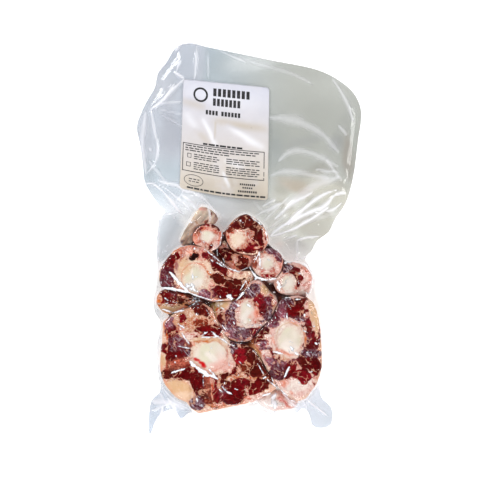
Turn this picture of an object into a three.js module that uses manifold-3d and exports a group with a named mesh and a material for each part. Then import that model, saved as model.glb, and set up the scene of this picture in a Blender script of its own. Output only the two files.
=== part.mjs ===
// Cut beef oxtail in a clear vacuum pouch, lying on its back film with the cut faces up.
// Millimetres, +Z up, +Y towards the pouch's wide empty end with the label.
// The origin is on the table, under the middle of the pouch.

import * as THREE from "three";
import { mergeVertices } from "three/addons/utils/BufferGeometryUtils.js";
import Module from "manifold-3d";

const wasm = await Module();
wasm.setup();

// Driving dimensions
const FLOOR_FILM = 0.6; // the back film, drawn thicker than life so that it is a solid
const LOOSE_FILM = 1.1; // front and back film together, where the pouch is empty
const CLEAR = 0.4; // room between solids that touch in the real pack
const FOOT = FLOOR_FILM + CLEAR; // height at which the pieces stand
const PIECE_GAP = 1.0; // narrowest crevice between two pieces
const WELL_GROWTH = 1.2; // how far the film stands off a piece's widest outline
const FOOT_EDGE = 3; // rounding under each piece
const SKIRT_REACH = 6; // how far the film leans out from a piece before it meets the table
const NECK_REACH = 24; // the same, towards the empty end of the pouch
const DRAPE_STEPS = [
  // share of the reach, share of the piece's height
  [1, 0],
  [0.42, 0.3],
  [0.12, 0.72],
  [0, 0.93],
];
const BULGE = 1.1; // how far a muscle bundle swells above its seams on a cut face
const FLAP_STEP = 8; // spacing of the empty pouch's surface points
const CUT_HEIGHT = 80; // taller than anything in the pack

const LABEL = { width: 76, length: 102, thick: 0.35, at: [-22, 90.5], turn: -4.5, spacing: 6 };

const COLOURS = {
  lean: 0x6e1d20,
  fat: 0xdcb48c,
  tip: 0xa88d72,
  bone: 0xe6dcc0,
  film: 0xc3cccf,
  paper: 0xece6da,
};

// Roughness
const GLOSSY = 0.08;
const WET = 0.35;
const MATT = 0.6;

// Each piece of tail: outline corners, height above its foot, rounding of the top edge,
// slope of the cut face along X and Y, and how many muscle bundles lie round its middle.
// A piece with a bone names the bone's centre, its two radii and its turn in degrees.
const PIECES = [
  {
    name: "slice_1",
    spacing: 8,
    height: 38,
    edge: 4,
    slope: [0.01, -0.01],
    bundles: 9,
    bone: { at: [-34.5, -101.5], wide: 15.5, deep: 14, turn: -12 },
    outline: [
      [-69.5, -68.5], [-58, -63], [-47.5, -58.5], [-39, -58], [-32.5, -63], [-28.5, -72], [-24, -81.5],
      [-17.5, -90.5], [-8, -93], [1.5, -94.5], [7.5, -103.5], [14.5, -116], [23.5, -129], [16.5, -135],
      [7, -141], [-5.5, -144.5], [-20.5, -147.5], [-36, -151], [-47.5, -152.5], [-52, -144.5],
      [-62.5, -139.5], [-71, -131.5], [-76.5, -119.5], [-77.5, -104.5], [-75.5, -88.5], [-75, -73.5],
    ],
  },
  {
    name: "slice_2",
    spacing: 8,
    height: 38,
    edge: 4,
    slope: [-0.02, 0.01],
    bundles: 8,
    bone: { at: [36, -87.5], wide: 12.5, deep: 14, turn: 10 },
    outline: [
      [28, -54.5], [36.5, -51.5], [47, -51], [55, -55.5], [59.5, -66.5], [62, -81.5], [63, -99],
      [63, -113], [60.5, -123.5], [54, -133.5], [46.5, -142], [36.5, -139.5], [28, -131.5],
      [21, -122], [14.5, -111.5], [9.5, -100], [4, -90.5], [7.5, -83.5], [15.5, -75.5],
      [21.5, -68.5], [25, -60.5],
    ],
  },
  {
    name: "slice_3",
    spacing: 7,
    height: 37,
    edge: 3.5,
    slope: [-0.03, 0.03],
    bundles: 7,
    bone: { at: [-47.5, -33.5], wide: 12, deep: 12.5, turn: 0 },
    outline: [
      [-60, -8], [-50, -6.5], [-41.5, -8], [-34.5, -10.5], [-26.5, -18.5], [-17.5, -26.5], [-8, -29],
      [1.5, -29], [3.5, -34], [-3, -42], [-9, -48.5], [-14, -53.5], [-24, -54.5], [-34.5, -53.5],
      [-45, -50], [-57, -45.5], [-68.5, -43], [-77.5, -41], [-78.5, -32.5], [-76.5, -24.5],
      [-71, -17.5], [-66, -11.5],
    ],
  },
  {
    name: "slice_4",
    spacing: 6.5,
    height: 36,
    edge: 4,
    slope: [-0.04, 0.03],
    bundles: 8,
    bone: { at: [-0.5, -65], wide: 9.5, deep: 10.5, turn: 15 },
    outline: [
      [2.5, -37], [7.5, -36], [13, -40.5], [19, -47.5], [25, -53.5], [22.5, -61.5], [19, -69.5],
      [12, -76.5], [6, -83.5], [-1, -89.5], [-10, -90.5], [-18.5, -87], [-24, -79], [-27.5, -70],
      [-31, -62.5], [-30, -56], [-22, -56], [-13.5, -55.5], [-7, -50], [-2, -43],
    ],
  },
  {
    name: "slice_5",
    spacing: 5.5,
    height: 36,
    edge: 3,
    slope: [0.03, 0.02],
    bundles: 6,
    bone: { at: [-10.2, -0.4], wide: 7.2, deep: 7.8, turn: 0 },
    outline: [
      [-19.5, 8.5], [-15, 14], [-8, 19.5], [-2, 21], [4, 17.5], [10.5, 12.5], [14.5, 5], [16.5, -1],
      [13, -8], [7, -12.5], [-2, -12.5], [-10, -11.5], [-16, -7], [-19.5, 0],
    ],
  },
  {
    name: "slice_6",
    spacing: 5,
    height: 35,
    edge: 2.5,
    slope: [0.04, 0],
    bundles: 5,
    bone: { at: [15.8, -20.8], wide: 7.8, deep: 9.4, turn: 0 },
    outline: [
      [10.5, -9], [18, -8], [24.5, -11.5], [28.5, -17.5], [28, -25.5], [23.5, -32.5], [16.5, -35],
      [9.5, -32.5], [4, -26.5], [3.5, -19.5], [6, -13],
    ],
  },
  {
    name: "slice_7",
    spacing: 5,
    height: 36,
    edge: 2.5,
    slope: [0, -0.05],
    bundles: 5,
    bone: { at: [-36.2, 2.6], wide: 7.6, deep: 6.6, turn: 0 },
    outline: [
      [-37, 12.5], [-31, 11.5], [-25.5, 7], [-25, 1], [-26.5, -6], [-32, -9.5], [-39, -9],
      [-45, -6], [-48.5, -2], [-48.5, 4.5], [-44, 9.5],
    ],
  },
  {
    name: "slice_8",
    spacing: 5,
    height: 32,
    edge: 5,
    slope: [-0.16, 0.02],
    bundles: 5,
    bone: { at: [33.4, -38.6], wide: 7.6, deep: 8.6, turn: 20 },
    outline: [
      [24.5, -30.5], [29.5, -23.5], [36.5, -22], [44.5, -23], [51.5, -27], [55, -34], [55, -41],
      [52.5, -47.5], [44.5, -49], [36, -50], [28, -48], [22.5, -41],
    ],
  },
  {
    name: "slice_9",
    spacing: 5.5,
    height: 30,
    edge: 4,
    slope: [0, -0.05],
    bundles: 4,
    middle: [-17, -14],
    outline: [
      [-25, 4.5], [-21.5, 2.5], [-18.5, -5.5], [-13.5, -12.5], [-5.5, -15], [2.5, -16], [2.5, -22],
      [-3, -26.5], [-10, -28], [-17.5, -23.5], [-25, -16], [-28.5, -9], [-27.5, -1],
    ],
  },
  {
    name: "side_cut",
    spacing: 5,
    height: 28,
    edge: 3,
    slope: [-0.03, 0.08],
    bundles: 3,
    middle: [-63, -53.5],
    outline: [
      [-78.5, -47.5], [-72, -45], [-63.5, -46], [-54, -49], [-46, -52], [-42.5, -54.5], [-46, -56.5],
      [-53, -60], [-60.5, -63], [-69.5, -66], [-76.5, -63], [-81, -57], [-81, -52],
    ],
  },
  {
    name: "tail_tip",
    colour: COLOURS.tip,
    spacing: 4.5,
    height: 21,
    edge: 7.5,
    slope: [0.05, 0.1],
    bundles: 0,
    middle: [-51.2, 13.5],
    outline: [
      [-42.5, 28], [-36, 26.5], [-31.5, 23], [-28.5, 18], [-30.5, 14.5], [-36, 14.6], [-41, 13.4],
      [-46, 10.5], [-50.2, 5], [-50.6, -1.5], [-50.5, -7], [-55, -8.8], [-59, -8], [-61.5, -4.5],
      [-60, 1.5], [-54.5, 10.5], [-48.5, 20],
    ],
  },
  {
    name: "fat_end",
    colour: COLOURS.fat,
    spacing: 6,
    height: 15,
    edge: 5,
    slope: [0, 0.12],
    bundles: 3,
    middle: [25.5, -143.5],
    outline: [
      [7.5, -144.5], [15.5, -139.5], [24.5, -134.5], [32, -138.5], [39.5, -143.5], [43.5, -146],
      [41, -150], [34, -151.5], [23.5, -153.5], [14.5, -150],
    ],
  },
];

// No film reaches down into the crevices inside these groups of pieces.
const OPEN_BETWEEN = [
  [
    "slice_1", "slice_2", "slice_8", "slice_6", "slice_5", "slice_9", "slice_7", "slice_3", "side_cut",
  ],
  ["tail_tip", "slice_7", "slice_3"],
  ["slice_1", "slice_2", "fat_end"],
];

// The top edge of the film round all the pieces, which bridges the notches between them.
const GROUP_OUTLINE = [
  [-44, 30.5], [-35, 29], [-26, 24.5], [-15, 22.5], [-7, 23.5], [-1, 23.5], [6, 20], [13, 14],
  [17, 7], [19, 0], [21, -5.5], [26.5, -9.5], [31.5, -15], [37, -19.5], [45, -20], [54, -24.5],
  [58, -32], [58.5, -41], [59, -49], [62, -57], [63.5, -66], [65, -81], [66, -99], [66, -113],
  [64, -125], [57.5, -135.5], [50, -144.5], [46, -150], [41, -153.5], [34, -155], [23, -156.5],
  [12, -153], [4, -149.5], [-6, -148.5], [-20, -151.5], [-36, -155], [-48, -155.5], [-55, -148],
  [-65, -142.5], [-74, -134], [-79.5, -120], [-80.5, -104], [-78.5, -88], [-79, -74],
  [-81.5, -66.5], [-84.5, -57], [-84, -49], [-81.5, -40], [-81, -31.5], [-79.5, -23], [-74.5, -15.5],
  [-68, -9], [-64.5, -4], [-63, 2.5], [-57.5, 13], [-51.5, 23],
];

// The pouch seen from above, going round from its top left corner. Its sides are drawn in by the vacuum.
const POUCH_OUTLINE = [
  [-65, 173.5], [-52, 176.2], [-38.5, 173], [17, 161.5], [65, 151], [85.5, 139.5], [95.5, 129.5],
  [101, 115], [98, 87.5], [94.5, 59.5], [90, 40.5], [85.5, 29.5], [77.5, 18], [72, 6.5], [61, -2],
  [56, -11.5], [50, -17], [55, -26], [59, -37], [58.5, -50], [62.5, -60.5], [66, -78.5], [67, -100],
  [67, -119.5], [63.5, -134], [66, -144], [73, -150], [75.5, -158.5], [73, -167.5], [66.5, -170],
  [57.5, -168.5], [54, -157.5], [49, -151.5], [44, -156], [35, -158], [24, -159.5], [12.5, -156],
  [2.5, -151], [-18, -153.5], [-40.5, -158], [-49.5, -158], [-55, -156.5], [-60.5, -163],
  [-67.5, -153.5], [-79, -157], [-85.5, -167], [-89.2, -178.3], [-90, -159.5], [-87.5, -145],
  [-79.5, -136.5], [-82, -121.5], [-82.5, -108], [-82.5, -93.5], [-80, -83.5], [-79.5, -74],
  [-84.5, -66.5], [-86, -55], [-83, -43.5], [-82.5, -20.5], [-83.5, -7], [-82, 8], [-80, 20.5],
  [-74.5, 22.5], [-81, 30.5], [-93.5, 50.5], [-95.5, 66.5], [-98, 84.5], [-101, 101], [-97, 113.5],
  [-92, 124], [-84.5, 137], [-82, 149.5], [-74.5, 158.5], [-70, 166.5],
];

// A closed smooth curve through flat corners, as evenly spaced points that go round anticlockwise.
function smoothOutline(corners, spacing) {
  const knots = corners.map(([x, y]) => new THREE.Vector3(x, y, 0));
  const curve = new THREE.CatmullRomCurve3(knots, true, "centripetal");
  const count = Math.round(curve.getLength() / spacing);
  const points = curve.getSpacedPoints(count).slice(0, count).map((p) => new THREE.Vector2(p.x, p.y));
  return THREE.ShapeUtils.area(points) > 0 ? points : points.reverse();
}

// How far a flat point lies outside a closed outline. Inside, the distance is negative.
function distanceOutside(point, outline) {
  const side = new THREE.Vector2();
  const toPoint = new THREE.Vector2();
  let nearest = Infinity;
  let inside = false;
  outline.forEach((end, i) => {
    const start = outline[(i + outline.length - 1) % outline.length];
    side.subVectors(end, start);
    toPoint.subVectors(point, start);
    const along = THREE.MathUtils.clamp(toPoint.dot(side) / side.lengthSq(), 0, 1);
    nearest = Math.min(nearest, toPoint.addScaledVector(side, -along).length());
    const crosses = end.y > point.y !== start.y > point.y;
    if (crosses && point.x < (side.x * (point.y - start.y)) / side.y + start.x) inside = !inside;
  });
  return inside ? -nearest : nearest;
}

// Pulls an outline in towards its middle wherever it comes closer than gap to its neighbours,
// at a point or halfway along the side that follows it.
function squeeze(outline, middle, neighbours, gap) {
  const stride = 0.2;
  const tooClose = (spot) => neighbours.some((other) => distanceOutside(spot, other) < gap);
  const pull = (point) => point.addScaledVector(middle.clone().sub(point).normalize(), stride);
  outline.forEach((point, i) => {
    const next = outline[(i + 1) % outline.length];
    while (tooClose(point)) pull(point);
    while (tooClose(point.clone().lerp(next, 0.5))) [point, next].forEach(pull);
  });
}

// An outline moved outwards by growth(normal) at each point.
function grown(outline, growth) {
  return outline.map((point, i) => {
    const before = outline[(i + outline.length - 1) % outline.length];
    const after = outline[(i + 1) % outline.length];
    const normal = after.clone().sub(before).normalize();
    normal.set(normal.y, -normal.x);
    return point.clone().addScaledVector(normal, growth(normal));
  });
}

// A closed body through rings of equal length. Its ends are closed by a fan, or with wrap the last
// ring joins the first, so that the body has a hole through it.
function loft(rings, wrap = false) {
  const count = rings[0].length;
  const points = rings.flat();
  const faces = [];
  const joins = wrap ? rings.length : rings.length - 1;
  for (let r = 0; r < joins; r += 1) {
    const low = r * count;
    const high = ((r + 1) % rings.length) * count;
    for (let i = 0; i < count; i += 1) {
      const next = (i + 1) % count;
      faces.push(low + i, low + next, high + next, low + i, high + next, high + i);
    }
  }
  if (!wrap) {
    const top = (rings.length - 1) * count;
    const ends = [rings[0], rings[rings.length - 1]].map((ring) => {
      const centre = ring.reduce((sum, p) => sum.add(p), new THREE.Vector3()).divideScalar(count);
      return points.push(centre) - 1;
    });
    for (let i = 0; i < count; i += 1) {
      const next = (i + 1) % count;
      faces.push(ends[0], next, i, ends[1], top + i, top + next);
    }
  }
  return new THREE.BufferGeometry().setFromPoints(points).setIndex(faces);
}

// A prism over an outline, from one height to another.
function prism(outline, from, to) {
  const flat = new THREE.Shape(outline);
  const made = new THREE.ExtrudeGeometry(flat, { depth: to - from, bevelEnabled: false });
  return made.translate(0, 0, from);
}

function solidOf(geometry) {
  const bare = geometry.clone();
  bare.deleteAttribute("normal");
  bare.deleteAttribute("uv");
  const merged = mergeVertices(bare, 1e-4);
  const mesh = new wasm.Mesh({
    numProp: 3,
    vertProperties: new Float32Array(merged.getAttribute("position").array),
    triVerts: new Uint32Array(merged.index.array),
  });
  return new wasm.Manifold(mesh);
}

function geometryOf(solid) {
  const mesh = solid.getMesh();
  const geometry = new THREE.BufferGeometry();
  geometry.setAttribute("position", new THREE.BufferAttribute(mesh.vertProperties, mesh.numProp));
  geometry.setIndex(new THREE.BufferAttribute(mesh.triVerts, 1));
  return geometry;
}

// The cut face of a piece: a sloping plane on which the muscle bundles swell between their seams.
function faceHeight(piece, point) {
  const out = point.clone().sub(piece.middle);
  const plane = piece.height + piece.slope[0] * out.x + piece.slope[1] * out.y;
  const seams = Math.abs(Math.sin((piece.bundles * out.angle()) / 2));
  return FOOT + plane + (piece.bundles ? BULGE * (seams - 0.5) : 0);
}

// A ring of a piece's flesh. It starts inset millimetres in from the outline, or less where the
// piece is narrow, and goes on by share of the way to the bone, or to the middle.
function fleshRing(piece, inset, share, heightAt) {
  const mostInset = 0.45;
  return piece.outline.map((rim, i) => {
    const target = piece.boneOutline ? piece.boneOutline[i] : piece.middle;
    const start = Math.min(inset / rim.distanceTo(target), mostInset);
    const spot = rim.clone().lerp(target, start + share * (1 - start));
    return new THREE.Vector3(spot.x, spot.y, heightAt(spot));
  });
}

// The bone's edge, with one point facing each point of the outline.
function boneEdge(piece) {
  const { at, wide, deep, turn } = piece.bone;
  const centre = new THREE.Vector2(...at);
  const tilt = THREE.MathUtils.degToRad(turn);
  return piece.outline.map((rim) => {
    const angle = rim.clone().sub(centre).angle() - tilt;
    const spot = new THREE.Vector2(wide * Math.cos(angle), deep * Math.sin(angle));
    return spot.rotateAround(new THREE.Vector2(), tilt).add(centre);
  });
}

function fleshGeometry(piece) {
  const { edge } = piece;
  const innermost = piece.boneOutline ? 1 : 0.92;
  const onTop = (drop) => (spot) => faceHeight(piece, spot) - drop;
  const roundedOff = edge * (1 - Math.SQRT1_2); // halfway round the edge
  return loft(
    [
      fleshRing(piece, 0, innermost, () => FOOT),
      fleshRing(piece, FOOT_EDGE, 0, () => FOOT),
      fleshRing(piece, 0, 0, () => FOOT + FOOT_EDGE),
      fleshRing(piece, 0, 0, onTop(edge)),
      fleshRing(piece, roundedOff, 0, onTop(roundedOff)),
      fleshRing(piece, edge, 0, onTop(0)),
      fleshRing(piece, edge, 0.35, onTop(0)),
      fleshRing(piece, edge, 0.7, onTop(0)),
      fleshRing(piece, edge, innermost, onTop(0)),
    ],
    Boolean(piece.boneOutline),
  );
}

// The vertebra: an oval column with a waist, whose ends stand a little proud of the flesh.
function boneGeometry(piece) {
  const { at, wide, deep, turn } = piece.bone;
  const sides = 18;
  const proud = 0.4;
  const flare = 2; // height of the column's widened ends
  const top = FOOT + piece.height;
  const tilt = THREE.MathUtils.degToRad(turn);
  const ring = (share, z) =>
    Array.from({ length: sides }, (_, i) => {
      const angle = (i / sides) * 2 * Math.PI;
      const x = share * (wide - 2 * CLEAR) * Math.cos(angle);
      const y = share * (deep - 2 * CLEAR) * Math.sin(angle);
      const spot = new THREE.Vector2(x, y).rotateAround(new THREE.Vector2(), tilt);
      return new THREE.Vector3(at[0] + spot.x, at[1] + spot.y, z);
    });
  return loft([
    ring(0.94, FOOT),
    ring(1, FOOT + flare),
    ring(0.88, (FOOT + top) / 2),
    ring(1, top - flare),
    ring(0.95, top),
    ring(0.5, top + proud),
  ]);
}

// The film round the meat: it leans out from the top edges and flattens where it meets the table.
function drapeGeometry(pieces) {
  const buried = 0.3;
  const around = smoothOutline(GROUP_OUTLINE, 6);
  const heights = around.map((spot) => {
    const weights = pieces.map((piece) => 1 / (1 + Math.max(distanceOutside(spot, piece.outline), 0) ** 2));
    const total = weights.reduce((sum, weight) => sum + weight);
    return weights.reduce((sum, weight, i) => sum + weight * pieces[i].height, 0) / total;
  });
  const rings = DRAPE_STEPS.map(([reach, rise]) => {
    const growth = ({ y }) => reach * THREE.MathUtils.lerp(SKIRT_REACH, NECK_REACH, Math.max(y, 0) ** 2);
    const ring = grown(around, growth);
    return ring.map((spot, i) => new THREE.Vector3(spot.x, spot.y, buried + rise * heights[i]));
  });
  return loft(rings);
}

// The empty end of the pouch, two films that lie together in long soft waves.
function looseHeight(x, y) {
  const long = Math.sin(x / 23 + y / 41);
  const cross = Math.sin(y / 17 - x / 37 + 1.3);
  return LOOSE_FILM + 0.7 * (1 + long * cross);
}

// A slab with a flat underside and a top of the given height over a grid of points.
function slab(xs, ys, top, bottom = () => 0) {
  const layer = (height) => ys.map((y) => xs.map((x) => new THREE.Vector3(x, y, height(x, y))));
  const points = [layer(bottom), layer(top)].flat(2);
  const wide = xs.length;
  const layerSize = wide * ys.length;
  const faces = [];
  for (let j = 0; j < ys.length - 1; j += 1) {
    for (let i = 0; i < wide - 1; i += 1) {
      const low = j * wide + i;
      const high = low + layerSize;
      faces.push(high, high + 1, high + wide + 1, high, high + wide + 1, high + wide);
      faces.push(low, low + wide + 1, low + 1, low, low + wide, low + wide + 1);
    }
  }
  const last = (ys.length - 1) * wide;
  const wall = (a, b) => faces.push(a, b, b + layerSize, a, b + layerSize, a + layerSize);
  for (let i = 0; i < wide - 1; i += 1) {
    wall(i, i + 1);
    wall(last + i + 1, last + i);
  }
  for (let j = 0; j < ys.length - 1; j += 1) {
    wall((j + 1) * wide, j * wide);
    wall(j * wide + wide - 1, (j + 1) * wide + wide - 1);
  }
  return new THREE.BufferGeometry().setFromPoints(points).setIndex(faces);
}

function steps(from, to, step) {
  const count = Math.ceil((to - from) / step);
  return Array.from({ length: count + 1 }, (_, i) => from + ((to - from) * i) / count);
}

function pouchGeometry(pieces) {
  const rim = smoothOutline(POUCH_OUTLINE, 5);
  const bounds = new THREE.Box2().setFromPoints(rim).expandByScalar(2);
  const xs = steps(bounds.min.x, bounds.max.x, FLAP_STEP);
  const ys = steps(bounds.min.y, bounds.max.y, FLAP_STEP);
  let film = solidOf(slab(xs, ys, looseHeight));
  film = film.add(solidOf(drapeGeometry(pieces)));
  film = film.intersect(solidOf(prism(rim, -1, CUT_HEIGHT)));
  const wells = pieces.map((piece) => grown(piece.outline, () => WELL_GROWTH));
  for (const group of OPEN_BETWEEN) {
    wells.push(group.map((name) => pieces.find((piece) => piece.name === name).middle));
  }
  for (const well of wells) film = film.subtract(solidOf(prism(well, FLOOR_FILM, CUT_HEIGHT)));
  return geometryOf(film);
}

// The paper label follows the film's waves and rises with it towards the meat. Each of its points
// stays just above the film's highest spot nearby.
function labelGeometry(film) {
  const { width, length, thick, at, turn, spacing } = LABEL;
  const tilt = THREE.MathUtils.degToRad(turn);
  const surface = new THREE.Mesh(film, new THREE.MeshBasicMaterial());
  const down = new THREE.Vector3(0, 0, -1);
  const filmHeight = (x, y) => {
    const spot = new THREE.Vector2(x, y).rotateAround(new THREE.Vector2(), tilt);
    const above = new THREE.Vector3(at[0] + spot.x, at[1] + spot.y, CUT_HEIGHT);
    const hits = new THREE.Raycaster(above, down).intersectObject(surface);
    return hits.length ? hits[0].point.z : 0;
  };
  const nearby = [-spacing / 2, 0, spacing / 2];
  const heightAt = (x, y) =>
    Math.max(...nearby.flatMap((dx) => nearby.map((dy) => filmHeight(x + dx, y + dy)))) + CLEAR;
  const xs = steps(-width / 2, width / 2, spacing);
  const ys = steps(-length / 2, length / 2, spacing);
  return slab(xs, ys, (x, y) => heightAt(x, y) + thick, heightAt);
}

function meshOf(name, geometry, colour, roughness) {
  const material = new THREE.MeshStandardMaterial({ color: colour, roughness, metalness: 0 });
  const mesh = new THREE.Mesh(geometry, material);
  mesh.name = name;
  return mesh;
}

// The pieces in the order given: each makes room for those before it.
function settledPieces() {
  const settled = [];
  return PIECES.map((given) => {
    const middle = new THREE.Vector2(...(given.bone ? given.bone.at : given.middle));
    const outline = smoothOutline(given.outline, given.spacing);
    squeeze(outline, middle, settled, PIECE_GAP);
    settled.push(outline);
    const piece = { ...given, middle, outline };
    if (piece.bone) piece.boneOutline = boneEdge(piece);
    return piece;
  });
}

const pack = new THREE.Group();
const pieces = settledPieces();

for (const piece of pieces) {
  pack.add(meshOf(piece.name, fleshGeometry(piece), piece.colour ?? COLOURS.lean, WET));
  if (piece.bone) pack.add(meshOf(`${piece.name}_bone`, boneGeometry(piece), COLOURS.bone, WET));
}

const film = pouchGeometry(pieces);
pack.add(meshOf("pouch", film, COLOURS.film, GLOSSY));

const label = meshOf("label", labelGeometry(film), COLOURS.paper, MATT);
label.position.set(...LABEL.at, 0);
label.rotation.z = THREE.MathUtils.degToRad(LABEL.turn);
pack.add(label);

export default pack;
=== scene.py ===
"""Cut oxtail in a clear vacuum pouch: raw meat, film, label, light and camera over the CAD frame."""

import math

import bmesh
import bpy
import numpy as np
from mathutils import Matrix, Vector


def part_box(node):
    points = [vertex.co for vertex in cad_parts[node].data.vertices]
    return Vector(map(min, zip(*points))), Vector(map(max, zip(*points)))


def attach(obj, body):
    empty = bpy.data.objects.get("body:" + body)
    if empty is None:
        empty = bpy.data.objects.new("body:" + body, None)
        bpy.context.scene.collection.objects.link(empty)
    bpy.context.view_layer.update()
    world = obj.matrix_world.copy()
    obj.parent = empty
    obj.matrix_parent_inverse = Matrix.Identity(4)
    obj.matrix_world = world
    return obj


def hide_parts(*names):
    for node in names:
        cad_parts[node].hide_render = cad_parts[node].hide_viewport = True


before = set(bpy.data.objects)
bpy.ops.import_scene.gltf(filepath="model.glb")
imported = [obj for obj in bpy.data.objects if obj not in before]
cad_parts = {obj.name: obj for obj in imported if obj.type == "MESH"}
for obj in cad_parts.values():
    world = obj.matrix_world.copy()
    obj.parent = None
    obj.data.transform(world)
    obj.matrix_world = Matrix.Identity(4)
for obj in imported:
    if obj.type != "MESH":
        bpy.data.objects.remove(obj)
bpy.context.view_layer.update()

MM = 0.001

# The camera looks straight down on the pack from high above, as in the photograph.
CAMERA_HEIGHT = 1500.0
CAMERA_SPOT = (-8.1, -0.9)
VIEW_PIXELS = 480
FLOOR_SCALE = 0.9  # millimetres to a pixel on the floor
FACE_HEIGHT = 39.0
FACE_SCALE = FLOOR_SCALE * (CAMERA_HEIGHT - FACE_HEIGHT) / CAMERA_HEIGHT

# Tissue colours
TONES = {
    "maroon": "#68060a",
    "wine": "#860f1b",
    "plum": "#66141f",
    "mauve": "#8e4450",
    "slate": "#4f1a22",
    "umber": "#5c140d",
    "russet": "#8e3520",
    "clay": "#ae5744",
    "blood": "#c40d14",
    "coral": "#dd5f56",
    "salmon": "#e4896e",
    "rose": "#e2a396",
    "blush": "#e1bbb1",
    "cream": "#e8c7ac",
    "peach": "#d6aa7e",
    "sand": "#c08a60",
    "amber": "#c46726",
    "olive": "#76441f",
    "khaki": "#8c7238",
    "ivory": "#dcd1c0",
    "hide": "#dcc8b2",
    "pearl": "#fbf1ec",
    # white is pale fat, and in two patches over vertebrae a painted highlight of the film's glare
    "white": "#ebe0d7",
    # A painted shade: the dark of a narrow crevice or of the spinal canal, where little light reaches
    "pit": "#1c0705",
}

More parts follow.
